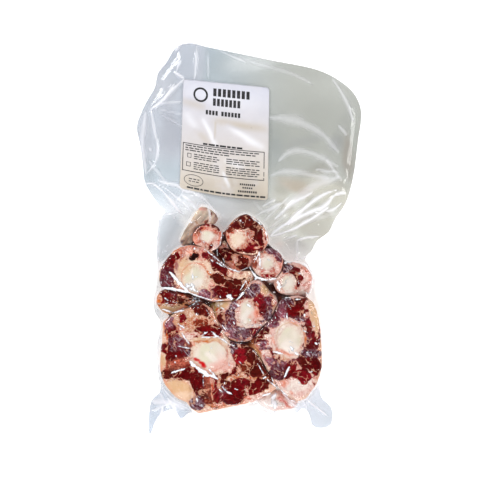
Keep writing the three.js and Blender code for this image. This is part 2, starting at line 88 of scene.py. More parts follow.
# What shows on each cut face. A patch is a tone, its centre and its two radii in pixels of the
# photograph, and its turn in degrees. Patches run down through the piece, as muscles do.
LEAN = {
    "slice_1": [
        ("maroon", 171.5, 332, 5, 6.5, 0), ("plum", 175.5, 343, 7.5, 8, 0),
        ("maroon", 166, 349, 5, 4.5, 0), ("mauve", 169.5, 322, 3, 5, 0),
        ("wine", 182.3, 318.5, 3.6, 4.6, 0), ("umber", 199, 310, 7.5, 4.5, -25),
        ("russet", 199, 323, 6.5, 3.8, 0), ("maroon", 206, 330, 12.5, 3.6, 4),
        ("wine", 207.5, 335.3, 5, 1.4, 0), ("maroon", 176.5, 355.5, 9.5, 4.4, 10),
        ("slate", 187, 353, 3.4, 4, 0), ("clay", 177, 364, 10, 4.4, 4),
        ("umber", 166.5, 374.5, 5.2, 3.2, 0), ("maroon", 186, 373, 12, 6.8, 18),
        ("maroon", 197.5, 382, 6.5, 8.5, 0), ("umber", 203, 395, 12, 2.8, -42),
        ("clay", 208.5, 383, 3.2, 9.5, 8), ("wine", 216, 388, 3.8, 12, 5),
        ("umber", 227, 380, 8.5, 5.5, -15), ("maroon", 233.5, 394, 12, 9.5, -10),
        ("plum", 225, 392, 5, 6, 0), ("wine", 242.5, 382, 5, 4.4, -30), ("maroon", 254.5, 386, 9, 8, 0),
        ("umber", 265, 382, 6, 4.6, 20), ("wine", 239.5, 356, 7, 6.8, 0),
        ("slate", 232.5, 348, 2.6, 4, 0), ("umber", 252.5, 360.5, 7, 3.6, -48),
        ("russet", 243, 366.5, 5.4, 3.4, -20), ("umber", 256, 373, 9.5, 3.2, -8),
        ("maroon", 234.5, 371, 3, 4.4, 0), ("slate", 197, 402.5, 6.5, 6, 0),
        ("russet", 208, 401.5, 5, 3, 0), ("clay", 190, 345, 3, 1.6, -20),
        ("umber", 247, 347.5, 9, 3, -38), ("umber", 260.5, 369, 7.5, 3, -40),
    ],
    "slice_2": [
        ("maroon", 294.5, 310.5, 8.5, 7.5, 0), ("slate", 288, 302, 5.5, 3.6, 0),
        ("umber", 299, 301, 5, 2.6, 0), ("mauve", 282.8, 313, 3.8, 8, 0), ("plum", 274, 318, 3.4, 7, -32),
        ("mauve", 271, 324.5, 6.5, 1.2, -2), ("maroon", 263, 332.5, 5.5, 5, 0),
        ("maroon", 256, 338.5, 6, 3.8, 40), ("slate", 299.5, 318.5, 5, 2.8, -20),
        ("wine", 308.5, 321.5, 3.4, 2.8, 0), ("umber", 305.5, 328.5, 6.5, 4.4, 0),
        ("plum", 308.5, 337, 3.2, 5, 0), ("maroon", 314.3, 339, 3.6, 7, 0),
        ("maroon", 309, 346.5, 4.6, 3.4, 0), ("slate", 311, 353, 7.5, 3.4, 0),
        ("maroon", 311, 365.5, 9, 9, 0), ("umber", 303, 361, 5, 4.5, 0),
        ("wine", 303.5, 376.5, 8.3, 6.8, 0), ("plum", 277.5, 371.5, 8.2, 7, 10),
        ("maroon", 288.5, 368, 5.2, 8, -15), ("mauve", 268.5, 361, 2.8, 4.4, 0),
        ("maroon", 276, 357, 6.6, 2.6, -48), ("mauve", 264, 344, 3, 2.2, 0), ("mauve", 284, 362, 5, 2, 5),
    ],
    "slice_3": [
        ("maroon", 171, 261, 10, 4.6, 55), ("plum", 166.5, 275, 5, 10, 0),
        ("plum", 167, 285.5, 6, 2.4, 0), ("maroon", 218, 265.5, 11.5, 4.4, -48),
        ("umber", 231, 282.5, 15.5, 3.6, -12), ("plum", 214, 259, 3, 4, -40),
        ("maroon", 225, 292.5, 13.5, 5, 0), ("mauve", 207, 294, 6, 3.4, 0),
        # The dark patch at 192.3, 257 is painted shade in the spinal canal.
        ("pit", 192.3, 257, 1.5, 0.8, 10), ("wine", 205.5, 255, 3.2, 3, 0),
    ],
    "slice_4": [
        ("slate", 254.5, 291, 9, 4.4, 12), ("maroon", 247, 296, 4.5, 2.6, 10),
        ("wine", 259.5, 298.5, 3, 5.4, 15), ("plum", 268, 303, 4.4, 5.4, 0),
        ("maroon", 264.5, 309.5, 3.4, 5.6, 0), ("slate", 268.5, 315, 4.8, 5, 0),
        ("umber", 223, 319, 4, 4.5, -15), ("slate", 231.5, 311.5, 3.8, 5.5, 0),
        ("plum", 229, 322, 6, 5, -20), ("mauve", 236, 305, 4, 2.8, -30),
        ("slate", 241, 332.5, 10, 4.8, 4), ("mauve", 230, 330, 5.4, 3, -20),
        ("mauve", 233, 337, 5.4, 1.8, -12), ("wine", 253, 331, 3.6, 4, 0),
        ("umber", 247, 334, 4.4, 1.3, 0), ("wine", 255, 305.5, 2.4, 3.4, 0), ("plum", 258, 332, 3, 3, 0),
    ],
    "slice_5": [
        ("umber", 243, 219.5, 8, 5, 0), ("maroon", 235, 224, 9, 3.6, 28),
        ("umber", 249, 224, 5.5, 5, -30), ("umber", 257, 226, 6, 5.4, -45),
        ("maroon", 261, 236, 4, 8, 10), ("umber", 256, 236, 3, 4, 30),
        ("wine", 253, 245.5, 7.4, 2.8, -35), ("maroon", 245, 250.7, 9, 1.1, 0),
        ("wine", 243, 246, 3, 2, 20), ("russet", 229, 229.5, 3.4, 1.8, 15),
    ],
    "slice_6": [
        ("slate", 266.5, 249.3, 6.4, 2.6, -10), ("mauve", 277, 254, 2, 2.4, 0),
        ("plum", 280.5, 259, 1.2, 4, 35), ("wine", 263.5, 276.4, 2.4, 1.6, 0),
        ("wine", 271, 275.8, 2.8, 1.8, 0), ("clay", 255, 262, 0.8, 2, 0),
        ("wine", 258, 256, 1.4, 2.2, 30),
    ],
    "slice_7": [
        ("umber", 217.5, 227.6, 4, 2.4, -25), ("maroon", 209.3, 245.3, 3, 2.8, 0),
        ("wine", 205, 228.6, 3.4, 1.9, 0), ("clay", 196.4, 234, 1.2, 3, 0),
    ],
    "slice_8": [
        ("slate", 286, 268, 5.6, 3.4, 8), ("maroon", 295, 271.5, 4.4, 2.8, -25),
        ("maroon", 298.5, 277.5, 4, 5, 0), ("wine", 298.6, 284, 2.4, 2.6, 0),
    ],
    "slice_9": [
        ("maroon", 225.5, 255, 8.4, 6.4, 0), ("umber", 242, 262.5, 6.4, 5.2, 10),
        ("cream", 224, 240, 2.4, 5, 0), ("wine", 235, 249.5, 2, 1.4, 0),
    ],
    "side_cut": [
        ("maroon", 167.5, 298.5, 7.6, 6.6, 0), ("umber", 196, 299.6, 17, 4.6, -13),
        # The dark patches at 199, 304.6 and 208, 306.4 are painted shade in the crevice along this piece's
        # lower edge.
        ("clay", 172, 305.6, 2, 1.2, 0), ("plum", 173, 296, 4, 3, 0), ("pit", 199, 304.6, 12, 1.9, -3),
        ("umber", 208, 306.4, 5, 2.4, -20),
    ],
    "tail_tip": [
        ("clay", 206, 221.5, 0.8, 1.6, -20), ("russet", 212, 213.8, 1, 2.4, 20),
        ("russet", 185, 248.4, 7, 0.8, -8),
    ],
    "fat_end": [
        ("salmon", 284.5, 405, 7.5, 1.5, -36), ("salmon", 283, 401.5, 5, 0.8, -30),
    ],
}

# The fat, membranes and blood, as patches of the same kind
FAT = {
    "slice_1": [
        ("sand", 190, 320, 15, 11, 0), ("blush", 192, 336, 12, 3, 0), ("rose", 181, 328, 3.5, 3, -30),
        ("blush", 224, 362, 11, 10, -30), ("peach", 206, 339.5, 14, 3, 0),
        ("amber", 203, 341.3, 10, 1.1, 3), ("clay", 226.8, 351.5, 0.9, 5.5, 6),
        ("salmon", 193.5, 344.5, 2.2, 2.2, 0), ("peach", 178, 390, 14, 11, -20),
        ("sand", 189.5, 391, 1.8, 6.5, 5), ("sand", 171, 380, 6, 1.5, 12), ("cream", 177, 398, 13, 5, 24),
        ("amber", 166, 334, 1.3, 14, 4), ("peach", 163, 361, 3.6, 8, 0), ("amber", 216, 405.3, 9.5, 2, 0),
        ("sand", 232, 377, 8, 2.6, 10), ("sand", 248, 377.5, 18, 1.3, -4),
        ("sand", 248.5, 364, 4, 1.2, -45), ("cream", 268, 389, 6, 5, -30),
        ("blush", 256, 398, 13, 3.6, 12), ("clay", 189, 359.5, 5, 1.3, 20),
        ("olive", 240, 342.5, 7, 1.6, -22), ("clay", 212, 381, 2.4, 9, 10),
        ("salmon", 212, 390, 1.2, 10, 5), ("blush", 248, 394, 2, 6, 10), ("sand", 220, 383, 1.2, 6, 0),
        ("blood", 196.8, 360, 3.6, 1.9, -22), ("blood", 202.6, 364.6, 5, 2.1, -38),
        ("salmon", 247, 398, 5, 2, 0), ("sand", 213, 317, 4, 5, -55), ("sand", 220.5, 343, 6.5, 1.1, -42),
        ("white", 211, 357, 3, 7, 50), ("rose", 226, 366, 12, 5, -20), ("rose", 214, 367, 6, 4, -40),
    ],
    "slice_2": [
        ("blush", 268, 340, 9, 8, 0), ("peach", 313, 311, 4.6, 17, 10), ("white", 298, 385, 16, 6, 16),
        ("blush", 299, 396, 12, 3, 24), ("salmon", 284, 383, 5, 3.4, 0),
        ("salmon", 291, 392.5, 2, 1.6, 0), ("amber", 257, 350, 9.5, 2.6, -55),
        ("blush", 261.5, 361, 13, 2.7, -60), ("salmon", 284, 352.5, 9, 1.8, -18),
        ("salmon", 272, 339, 1.8, 5, 20), ("amber", 306, 338, 1.4, 9, 0), ("sand", 282, 358, 8, 2.4, -12),
        ("cream", 308.8, 371.3, 4.6, 0.7, -54), ("rose", 293, 321.5, 9, 1.8, -14),
        ("blush", 270, 353, 6, 4, -30), ("peach", 317, 325, 1.8, 12, 4), ("blush", 316, 383, 2, 6, -20),
        # The white patch at 281, 327 is a painted highlight, the film's glare over the vertebra.
        ("white", 281, 327, 2.5, 8, -32), ("white", 290, 350, 7, 2.5, -28), ("white", 268, 336, 4, 2, 10),
    ],
    "slice_3": [
        ("peach", 183, 267, 9, 8, 0), ("salmon", 186, 251, 9, 4, 12), ("rose", 201, 254, 5.6, 6.6, 0),
        ("clay", 183, 250, 7, 1.6, 20), ("clay", 182, 257, 2.2, 6, -20), ("clay", 196, 249, 5, 1.6, -20),
        ("mauve", 176, 266, 2.4, 6, 0), ("cream", 205, 266, 7, 4, -48),
        ("amber", 208.5, 271.5, 9, 1.1, -50), ("olive", 230, 279.2, 14, 1, -16),
        ("cream", 240, 274.2, 13, 4.8, -4), ("russet", 242, 273, 2.4, 1.2, 0),
        ("olive", 248, 283, 4, 6, -40), ("rose", 211, 285, 3, 4, 0), ("olive", 222, 276, 5, 1.2, -30),
        # The white patch at 195, 284 is a painted highlight, the film's glare over the vertebra.
        ("amber", 178, 249.5, 5, 1.4, 30), ("white", 195, 284, 9, 4, 22),
        ("white", 192.5, 273, 1.6, 5, 0),
    ],
    "slice_4": [
        ("peach", 266.5, 288, 4.5, 8, -40), ("khaki", 218, 305, 9, 7, 25), ("peach", 225, 306, 5, 3, 35),
        ("sand", 216, 314, 2, 5, -30), ("rose", 255, 317, 5, 8, 0), ("clay", 257.5, 309, 1.6, 5, 10),
        ("salmon", 257, 311, 2.6, 7, 0), ("salmon", 249, 317, 3, 2, 0), ("umber", 272, 291, 10, 1.6, -48),
        ("amber", 236, 341, 13, 1.3, -6), ("blush", 238, 310, 4, 7, 0), ("white", 252, 325.5, 9, 2.6, 4),
        ("rose", 226, 335, 5, 2.8, -40), ("peach", 246.5, 284.5, 4, 3, 30),
        ("sand", 273.5, 304, 1.5, 7, 0), ("white", 244, 318, 3, 8, -20),
    ],
    "slice_5": [
        ("russet", 250, 234, 3.4, 6, 25), ("clay", 244, 246, 5, 2.4, 20), ("amber", 230, 224, 9, 1.4, 40),
        ("salmon", 228, 240, 2, 8, 8), ("rose", 265, 240, 1.6, 10, 6), ("clay", 250, 241, 4, 2.2, -50),
        ("salmon", 258, 248, 4, 2, 10), ("cream", 238, 239, 9, 9, 0),
    ],
    "slice_6": [
        ("blush", 259, 262, 3, 10, 0), ("rose", 281, 266, 3, 9, -20), ("blush", 267, 276, 9, 3, 0),
        ("clay", 274, 271, 5, 1.6, -50),
    ],
    "slice_7": [
        ("salmon", 196, 236, 2.8, 9, 0), ("salmon", 206, 229, 10, 2.4, 0), ("blush", 215, 246, 5, 5, 30),
        ("salmon", 220, 238, 2.2, 8, 0), ("clay", 204, 243.5, 5, 1.5, -30),
        ("clay", 214, 232, 4, 1.4, -40),
    ],
    "slice_8": [
        ("blush", 308, 278, 7, 17, 0), ("blush", 303, 286, 2, 7, -20), ("white", 287, 293, 9, 3.2, 0),
        ("rose", 290, 262.5, 10, 2.2, -8),
    ],
    "slice_9": [
        ("clay", 235, 260, 2.6, 6, -20), ("salmon", 249, 254.5, 5.5, 5.5, 0),
        ("white", 229, 265, 7, 2.8, -30), ("blush", 224, 246.5, 4.8, 2.8, 0),
        ("cream", 234.5, 255, 1.6, 7, -20), ("rose", 251, 262, 3.4, 7, 0),
        ("clay", 240, 252.5, 4, 2.2, 0), ("amber", 252.5, 262, 1, 5, 0),
    ],
    "side_cut": [
        ("amber", 159, 302, 2.4, 6, 0), ("peach", 173, 309, 13, 3.8, 0), ("clay", 183, 296.5, 5, 1, -20),
        ("clay", 172, 305.4, 3.4, 1.2, 0), ("sand", 187, 302.5, 5, 1.3, 10),
    ],
    "tail_tip": [
        ("blush", 215, 222, 1.6, 7, 10), ("blush", 178, 243, 3, 4, 0), ("rose", 201, 209, 5, 1.4, 0),
        ("umber", 185, 248, 8, 1.4, -8), ("umber", 182.5, 241.5, 2, 1.5, 30),
        ("russet", 214, 214, 1, 3, 20), ("white", 192, 222, 1, 16, 39), ("sand", 199, 226, 0.8, 15, 39),
    ],
    "fat_end": [
        ("salmon", 284, 404, 8.5, 2.8, -34), ("coral", 285, 405, 6.5, 1.2, -36),
        ("blush", 264, 399, 4, 1.2, 20), ("amber", 296, 407, 1.4, 2.2, 0),
    ],
}

# The tone that shows between the patches
GROUND = {
    "slice_1": "cream", "slice_2": "blush", "slice_3": "cream", "slice_4": "blush", "slice_5": "cream",
    "slice_6": "blush", "slice_7": "rose", "slice_8": "blush", "slice_9": "salmon", "side_cut": "peach",
    "tail_tip": "hide", "fat_end": "pearl",
}

# The tone of a rim that isn't salmon
RIMS = {"slice_2": "peach", "slice_4": "khaki", "tail_tip": "hide"}

# How much of a tone is frosted by the film, which clings to the lean in fine white wrinkles there. The
# frost is partly the film's own milkiness and partly painted sheen and painted highlights.
FILM_FROST_AND_SHEEN = {"slate": 0.6, "mauve": 0.6, "plum": 0.25}

# How much a patch of fat covers, where that isn't the usual share, and how smooth the fat is
COVER = {"blood": 1, "amber": 1, "clay": 0.9, "white": 0.8}
SMOOTH_FAT = {"peach": 0.85, "blood": 0.85, "white": 0.5}

# Pieces whose grain runs along the cut: its turn in degrees
GRAIN = {"tail_tip": 51, "side_cut": -13, "slice_9": 80}

# The pieces that are sawn through a vertebra
BONED = ["slice_1", "slice_2", "slice_3", "slice_4", "slice_5", "slice_6", "slice_7", "slice_8"]


def linear(hex_colour):
    """An sRGB hex colour as linear red, green, blue and alpha."""
    parts = [int(hex_colour[i : i + 2], 16) / 255 for i in (1, 3, 5)]
    return [c / 12.92 if c <= 0.04045 else ((c + 0.055) / 1.055) ** 2.4 for c in parts] + [1.0]


def laid_over(colours, over, share):
    """Colours under another one, a hex colour or rows of them, by a share for each row."""
    if isinstance(over, str):
        over = np.array(linear(over))
    return colours * (1 - share[:, None]) + over * share[:, None]


def on_plane(px, py, scale):
    """A pixel of the photograph as millimetres on a level plane, at so many millimetres a pixel."""
    half = VIEW_PIXELS / 2
    return np.array([(px - half) * scale + CAMERA_SPOT[0], (half - py) * scale + CAMERA_SPOT[1]])


def on_face(px, py):
    """A pixel of the photograph as millimetres on the cut faces."""
    return on_plane(px, py, FACE_SCALE)


def on_floor(px, py):
    """A pixel of the photograph as millimetres on the floor."""
    return on_plane(px, py, FLOOR_SCALE)


def smoothstep(low, high, value):
    """A share that eases from 0 at one value to 1 at the other, which may be the smaller one."""
    share = np.clip((value - low) / (high - low), 0, 1)
    return share * share * (3 - 2 * share)


# Random values in a repeating block of cells, between which the noise eases
LATTICE_CELLS = 64
LATTICE = np.random.default_rng(11).uniform(-1, 1, (LATTICE_CELLS,) * 3)
SEED_SHIFT = 7.3  # how many cells each seed moves the noise by


def noise(points, wavelength, seed=0):
    """Smooth noise from -1 to 1 at points in millimetres, one row each, with two or three columns."""
    if points.shape[1] == 2:
        points = np.column_stack([points, np.zeros(len(points))])
    grid = points / wavelength + SEED_SHIFT * seed
    cell = np.floor(grid).astype(int)
    share = grid - cell
    share = share * share * (3 - 2 * share)
    total = np.zeros(len(points))
    for corner in np.ndindex(2, 2, 2):
        weight = np.prod(np.where(np.array(corner) == 1, share, 1 - share), axis=1)
        spot = (cell + corner) % LATTICE_CELLS
        total += weight * LATTICE[spot[:, 0], spot[:, 1], spot[:, 2]]
    return total


def shifts(points, wavelength, seed, reach):
    """Smooth shifts of points across and along, up to about the reach in millimetres."""
    return reach * np.column_stack([noise(points, wavelength, seed), noise(points, wavelength, seed + 1)])


def coordinates(mesh):
    """Where a mesh's vertices lie, in millimetres."""
    flat = np.empty(len(mesh.vertices) * 3, dtype=np.float32)
    mesh.vertices.foreach_get("co", flat)
    return flat.reshape(-1, 3).astype(float) / MM


def place(mesh, points):
    """Moves a mesh's vertices to points in millimetres."""
    mesh.vertices.foreach_set("co", (points * MM).astype(np.float32).ravel())
    mesh.update()


def vertex_normals(mesh):
    """Which way a mesh faces at each vertex."""
    flat = np.empty(len(mesh.vertices) * 3, dtype=np.float32)
    mesh.vertex_normals.foreach_get("vector", flat)
    return flat.reshape(-1, 3).astype(float)


def keep_values(mesh, name, values):
    """Stores one number or one colour for each vertex, for the materials to read."""
    if values.ndim == 1:
        mesh.attributes.new(name, "FLOAT", "POINT").data.foreach_set("value", values.astype(np.float32))
    else:
        kept = mesh.attributes.new(name, "FLOAT_COLOR", "POINT")
        kept.data.foreach_set("color", values.astype(np.float32).ravel())


def mesh_of(made, name):
    """A mesh of what bmesh has made."""
    mesh = bpy.data.meshes.new(name)
    made.to_mesh(mesh)
    made.free()
    return mesh


def new_piece(name, mesh, material):
    """A smoothly shaded object of one material."""
    piece = bpy.data.objects.new(name, mesh)
    bpy.context.collection.objects.link(piece)
    mesh.materials.clear()
    mesh.materials.append(material)
    mesh.shade_smooth()
    return piece


# Meat and bone, with sizes in millimetres
MERGE = 0.001  # corners of a CAD solid nearer than this are joined
FACE_SIZE = 0.7  # how wide the remade faces of meat and bone are
LOWEST_MEAT = 0.7  # no part of a cut lies lower than this
BUNDLE_GROWTH = 1.7  # how far the lean bundles reach past their patches
STRIP = 2.7  # a patch of fat thinner than this, in pixels, lies over the lean
FAR = 99  # a distance or a height beyond all others


def merged(node_name):
    """A CAD node's faces in bmesh, joined where their corners coincide."""
    made = bmesh.new()
    made.from_mesh(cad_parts[node_name].data)
    bmesh.ops.remove_doubles(made, verts=made.verts, dist=MERGE * MM)
    return made


def soft_copy(node_name, piece_name):
    """A copy of a CAD node, remade in small even faces with its edges softened."""
    piece = bpy.data.objects.new(piece_name, mesh_of(merged(node_name), piece_name))
    bpy.context.collection.objects.link(piece)
    remesh = piece.modifiers.new("even faces", "REMESH")
    remesh.mode = "VOXEL"
    remesh.voxel_size = FACE_SIZE * MM
    soften = piece.modifiers.new("soften", "SMOOTH")
    soften.factor = 0.5
    soften.iterations = 3
    shaped = bpy.data.meshes.new_from_object(piece.evaluated_get(bpy.context.evaluated_depsgraph_get()))
    bpy.data.objects.remove(piece)
    return shaped


def turned(away, turn):
    """How far places lie along a direction that is so many degrees round, and across it."""
    angle = math.radians(turn)
    along = away @ np.array([math.cos(angle), math.sin(angle)])
    return along, away @ np.array([-math.sin(angle), math.cos(angle)])


def patch_distance(points, patch):
    """How far points lie outside a patch, in millimetres. Inside, the distance is negative."""
    _, px, py, wide, deep, turn = patch
    along, across = turned(points - on_face(px, py), turn)
    off = np.hypot(along / (wide * FACE_SCALE), across / (deep * FACE_SCALE))
    return (off - 1) * min(wide, deep) * FACE_SCALE


def bone_middle(name):
    """The middle and the two radii of the vertebra in a piece, in millimetres."""
    low, high = [np.array(corner)[:2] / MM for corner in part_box(f"{name}_bone")]
    return (low + high) / 2, (high - low) / 2


def bone_reach(points, name):
    """How far points lie outside the vertebra of a piece, in millimetres."""
    middle, radii = bone_middle(name)
    return (np.hypot(*((points[:, :2] - middle) / radii).T) - 1) * radii.min()


def lean_bundles(points, swayed, fat_gaps, name):
    """The lean of a piece: how deep in a bundle points lie, the lean's tone, and how much frost and painted
    sheen of the film lies on it.
    """
    gaps = np.array([patch_distance(swayed, patch) for patch in LEAN[name]])
    ordered = np.sort(gaps, axis=0)
    # A bundle grows until it meets fat. Thin strips of fat and broken seams part it further.
    inner = -ordered[0]
    strip = np.array([min(patch[3:5]) < STRIP for patch in FAT[name]])
    fat = np.min(fat_gaps[~strip], axis=0, initial=FAR)
    depth = np.maximum(inner, np.minimum(inner + BUNDLE_GROWTH, (fat + inner) * 0.7))
    depth = np.minimum(depth, np.min(fat_gaps[strip], axis=0, initial=FAR))
    depth += noise(points, 4.6, 17) * 0.9 + noise(points, 2.3, 24) * 0.5
    seams = noise(points, 3, 25) * 0.55 + 3 * np.maximum(noise(points, 9, 28), 0)
    depth = np.minimum(depth, (ordered[1] - ordered[0]) * 1.5 + seams)
    depth = np.maximum(depth, 1.6 * depth)
    # Small islands of lean lie in the fat near it.
    depth = np.maximum(depth, np.minimum((noise(points, 3.4, 31) - 0.6) * 6, depth + 4))
    draw = np.random.default_rng(len(name) + len(LEAN[name]))
    tones = np.array([linear(TONES[patch[0]]) for patch in LEAN[name]])
    tones[:, :3] *= draw.uniform(0.75, 1.1, (len(tones), 1))
    shares = np.exp(np.maximum(ordered[0] - gaps, -20))
    shares /= shares.sum(axis=0)
    film_frost_and_sheen = shares.T @ np.array([FILM_FROST_AND_SHEEN.get(patch[0], 0) for patch in LEAN[name]])
    return depth, shares.T @ tones, film_frost_and_sheen


def round_the_bone(points, depth, colour, name):
    """Round a vertebra the lean stops and the fat pales towards bone. Gives the depth in lean, the
    colour, and how smooth and clean it is."""
    smallest = bone_middle(name)[1].min()
    gap = bone_reach(points, name)
    ragged = np.clip(smallest / 9.5, 0.4, 1)
    edge = gap + ragged * (noise(points, 11, 5) * 2.2 + noise(points, 4.5, 10) * 1.4)
    fringe = 0.45 * smoothstep(8, 3, edge) * smoothstep(8, 12, smallest)
    clean = np.maximum(smoothstep(1.5, -5.5, edge), fringe)
    glow = np.maximum(smoothstep(4 * ragged, -5 * ragged, edge), 0.5 * smoothstep(9, 2, edge))
    colour = laid_over(colour, TONES["ivory"], glow)
    cloud = noise(points, 8, 20) + 0.4 * noise(points, 3.5, 35)
    for tone, full in (("#dbd5bb", 0.7), ("#e9dcd4", -0.7)):
        colour = laid_over(colour, tone, 0.7 * smoothstep(0, full, cloud) * smoothstep(1, -4, gap))
    # A bloody skin runs round the bone, broken here and there.
    skin = smoothstep(1.6, 0.2, np.abs(edge - 0.6)) * np.clip(0.2 + noise(points, 7, 38), 0, 0.75)
    skin *= {"slice_3": 0.2, "slice_1": 0.5}.get(name, 1)
    return np.minimum(depth, edge - 1), laid_over(colour, "#b04a30", skin), clean


def grain_streaks(points, name):
    """Streaks from -1 to 1 along the grain of a piece."""
    along, across = turned(points[:, :2], GRAIN[name])
    return noise(np.column_stack([along / 14, across / 1.5, points[:, 2] / 8]), 1, 30)


def tissue(points, name):
    """What shows at points of a piece: the depth in lean, the lean's tone, the fat's or bone's tone,
    how smooth and clean that fat or bone is, and how much frost and painted sheen of the film lies on the
    lean."""
    swayed = points[:, :2] + (shifts(points, 6.5, 1, 1.2) + shifts(points, 2.6, 3, 0.8))
    fat_gaps = np.array([patch_distance(swayed, patch) for patch in FAT[name]])
    depth, lean_tone, film_frost_and_sheen = lean_bundles(points, swayed, fat_gaps, name)
    colour = np.tile(linear(TONES[GROUND[name]]), (len(points), 1))
    clean = np.zeros(len(points))
    if name in BONED:
        depth, colour, clean = round_the_bone(points, depth, colour, name)
    bone = clean
    for patch, gap in zip(FAT[name], fat_gaps):
        soft = np.clip(0.4 * min(patch[3:5]) * FACE_SCALE, 0.45, 3)
        share = smoothstep(soft, -soft, gap) * COVER.get(patch[0], 0.85 - 0.4 * bone)
        colour = laid_over(colour, TONES[patch[0]], share)
        clean = np.maximum(clean, SMOOTH_FAT.get(patch[0], 0) * share)
    if name in ("tail_tip", "fat_end"):
        clean = np.maximum(clean, 0.55)
    if name in GRAIN:
        streak = grain_streaks(points, name)[:, None]
        colour[:, :3] *= 1 + (0.55 if name == "tail_tip" else 0.75) * streak
        lean_tone[:, :3] *= 1 + 0.7 * streak
    depth -= 2.5 * smoothstep(0.2, 0.8, clean)
    colour[:, :3] *= (1 + 0.09 * noise(points, 15, 36) + 0.05 * noise(points, 5, 37))[:, None]
    return depth, lean_tone, colour, clean, film_frost_and_sheen


def keep_tissue(mesh, found):
    """Stores what shows at a mesh's vertices under the names that the tissue material reads."""
    for name, values in zip(("lean_depth", "lean_tone", "fat_tone", "clean_share", "film_frost_and_sheen"), found):
        keep_values(mesh, name, values)


def cut_of_tail(name, material):
    """One piece of tail: bundles of lean swell a little between seams of fat, under a sawn face."""
    mesh = soft_copy(name, f"{name}_meat")
    points = coordinates(mesh)
    normals = vertex_normals(mesh)
    depth, lean_tone, fat_tone, clean, film_frost_and_sheen = tissue(points, name)
    facing_up = smoothstep(0.2, 0.8, normals[:, 2])
    # Down the sides a thin smooth coat of fat hides most of the lean.
    depth -= (1 - facing_up) * np.maximum(0.9 + 2.2 * noise(points, 13, 26), 0)
    clean = np.maximum(clean, 0.6 * (1 - facing_up))
    edge = smoothstep(0.05, 0.4, normals[:, 2]) * smoothstep(0.97, 0.8, normals[:, 2])
    patchy = np.clip(0.3 + 0.8 * noise(points, 12, 29), 0, 0.8)
    rim = patchy * edge * smoothstep(6, 16, points[:, 2])
    fat_tone = laid_over(fat_tone, TONES[RIMS.get(name, "salmon")], rim)
    swell = 0.5 * smoothstep(-0.6, 2.2, depth) - 0.3 * smoothstep(1.2, 0, np.abs(depth))
    lumps = noise(points, 9, 6) * 0.5 + noise(points, 3.5, 7) * 0.22
    points += normals * ((swell + 0.4 * lumps) * facing_up + (lumps + 0.8) * (1 - facing_up))[:, None]
    points[:, 2] = np.maximum(points[:, 2], LOWEST_MEAT)
    place(mesh, points)
    keep_tissue(mesh, (depth, lean_tone, fat_tone, clean, film_frost_and_sheen))
    piece = new_piece(f"{name}_meat", mesh, material)
    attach(piece, "root")
    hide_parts(name)
    return piece


CAP = 3.0  # the depth of the vertebra's top that is spread over the flesh, in millimetres
RING = (1.6, 4.5)  # a vertebra lies level with the flesh that is this far from it


def flesh_level(points, meat, name):
    """How high the flesh round a vertebra would lie at points, if its face ran on over the bone."""
    flesh = coordinates(meat.data)
    around = bone_reach(flesh, name)
    on_top = (vertex_normals(meat.data)[:, 2] > 0.9) & (flesh[:, 2] > 10)
    ring = flesh[(around > RING[0]) & (around < RING[1]) & on_top]
    spots = np.column_stack([ring[:, :2], np.ones(len(ring))])
    plane = np.linalg.lstsq(spots, ring[:, 2], rcond=None)[0]
    return points[:, :2] @ plane[:2] + plane[2]


def sawn_vertebra(name, material, meat):
    """The vertebra in a piece. Its sawn end lies flush with the flesh and runs a little under it."""
    mesh = soft_copy(f"{name}_bone", f"{name}_vertebra")
    points = coordinates(mesh)
    level = flesh_level(points, meat, name)
    top = np.percentile(points[:, 2] - level, 95)
    fall = np.clip((top + level - points[:, 2]) / CAP, 0, 1)
    reach = bone_reach(points, name)
    middle, radii = bone_middle(name)
    away = points[:, :2] - middle
    spread = 0.3 + 2.0 * (1 - fall) * smoothstep(-4.5, -0.6, reach)
    points[:, :2] += away / np.maximum(np.hypot(*away.T), 1)[:, None] * spread[:, None]
    dome = 0.5 * smoothstep(0, -radii.min(), reach)
    lumps = noise(points, 7, 8) * 0.3 + noise(points, 2.5, 9) * 0.1
    points[:, 2] -= (top - dome - lumps + 0.1) * (1 - fall)
    place(mesh, points)
    keep_tissue(mesh, tissue(points, name))
    piece = new_piece(f"{name}_vertebra", mesh, material)
    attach(piece, "root")
    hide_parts(f"{name}_bone")
    return piece


# Materials, and the sockets of a node that mixes colours
MIX_SHARE, MIX_UNDER, MIX_OVER, MIX_RESULT = 0, 6, 7, 2


def node(tree, kind, inputs=None, **settings):
    """Adds a shader node, sets its properties, and fills its inputs with values or links."""
    made = tree.nodes.new(f"ShaderNode{kind}")
    for name, value in settings.items():
        setattr(made, name, value)
    for socket, value in (inputs or {}).items():
        if isinstance(value, bpy.types.NodeSocket):
            tree.links.new(value, made.inputs[socket])
        else:
            made.inputs[socket].default_value = value
    return made


def new_material(name):
    """A material with its nodes and its surface."""
    material = bpy.data.materials.new(name)
    material.use_nodes = True
    return material, material.node_tree, material.node_tree.nodes["Principled BSDF"]


def layered(tree, colour, layers, amount=1.0):
    """Lays tones over a colour. Each layer is a pattern, the values where it starts and is full, how
    much it covers, and its tone."""
    for source, low, high, most, tone in layers:
        share = node(tree, "MapRange", {"Value": source, "From Min": low, "From Max": high, "To Max": most})
        kept = node(tree, "Math", {0: share.outputs[0], 1: amount}, operation="MULTIPLY")
        mixing = {MIX_SHARE: kept.outputs[0], MIX_UNDER: colour, MIX_OVER: linear(tone)}
        colour = node(tree, "Mix", mixing, data_type="RGBA").outputs[MIX_RESULT]
    return colour


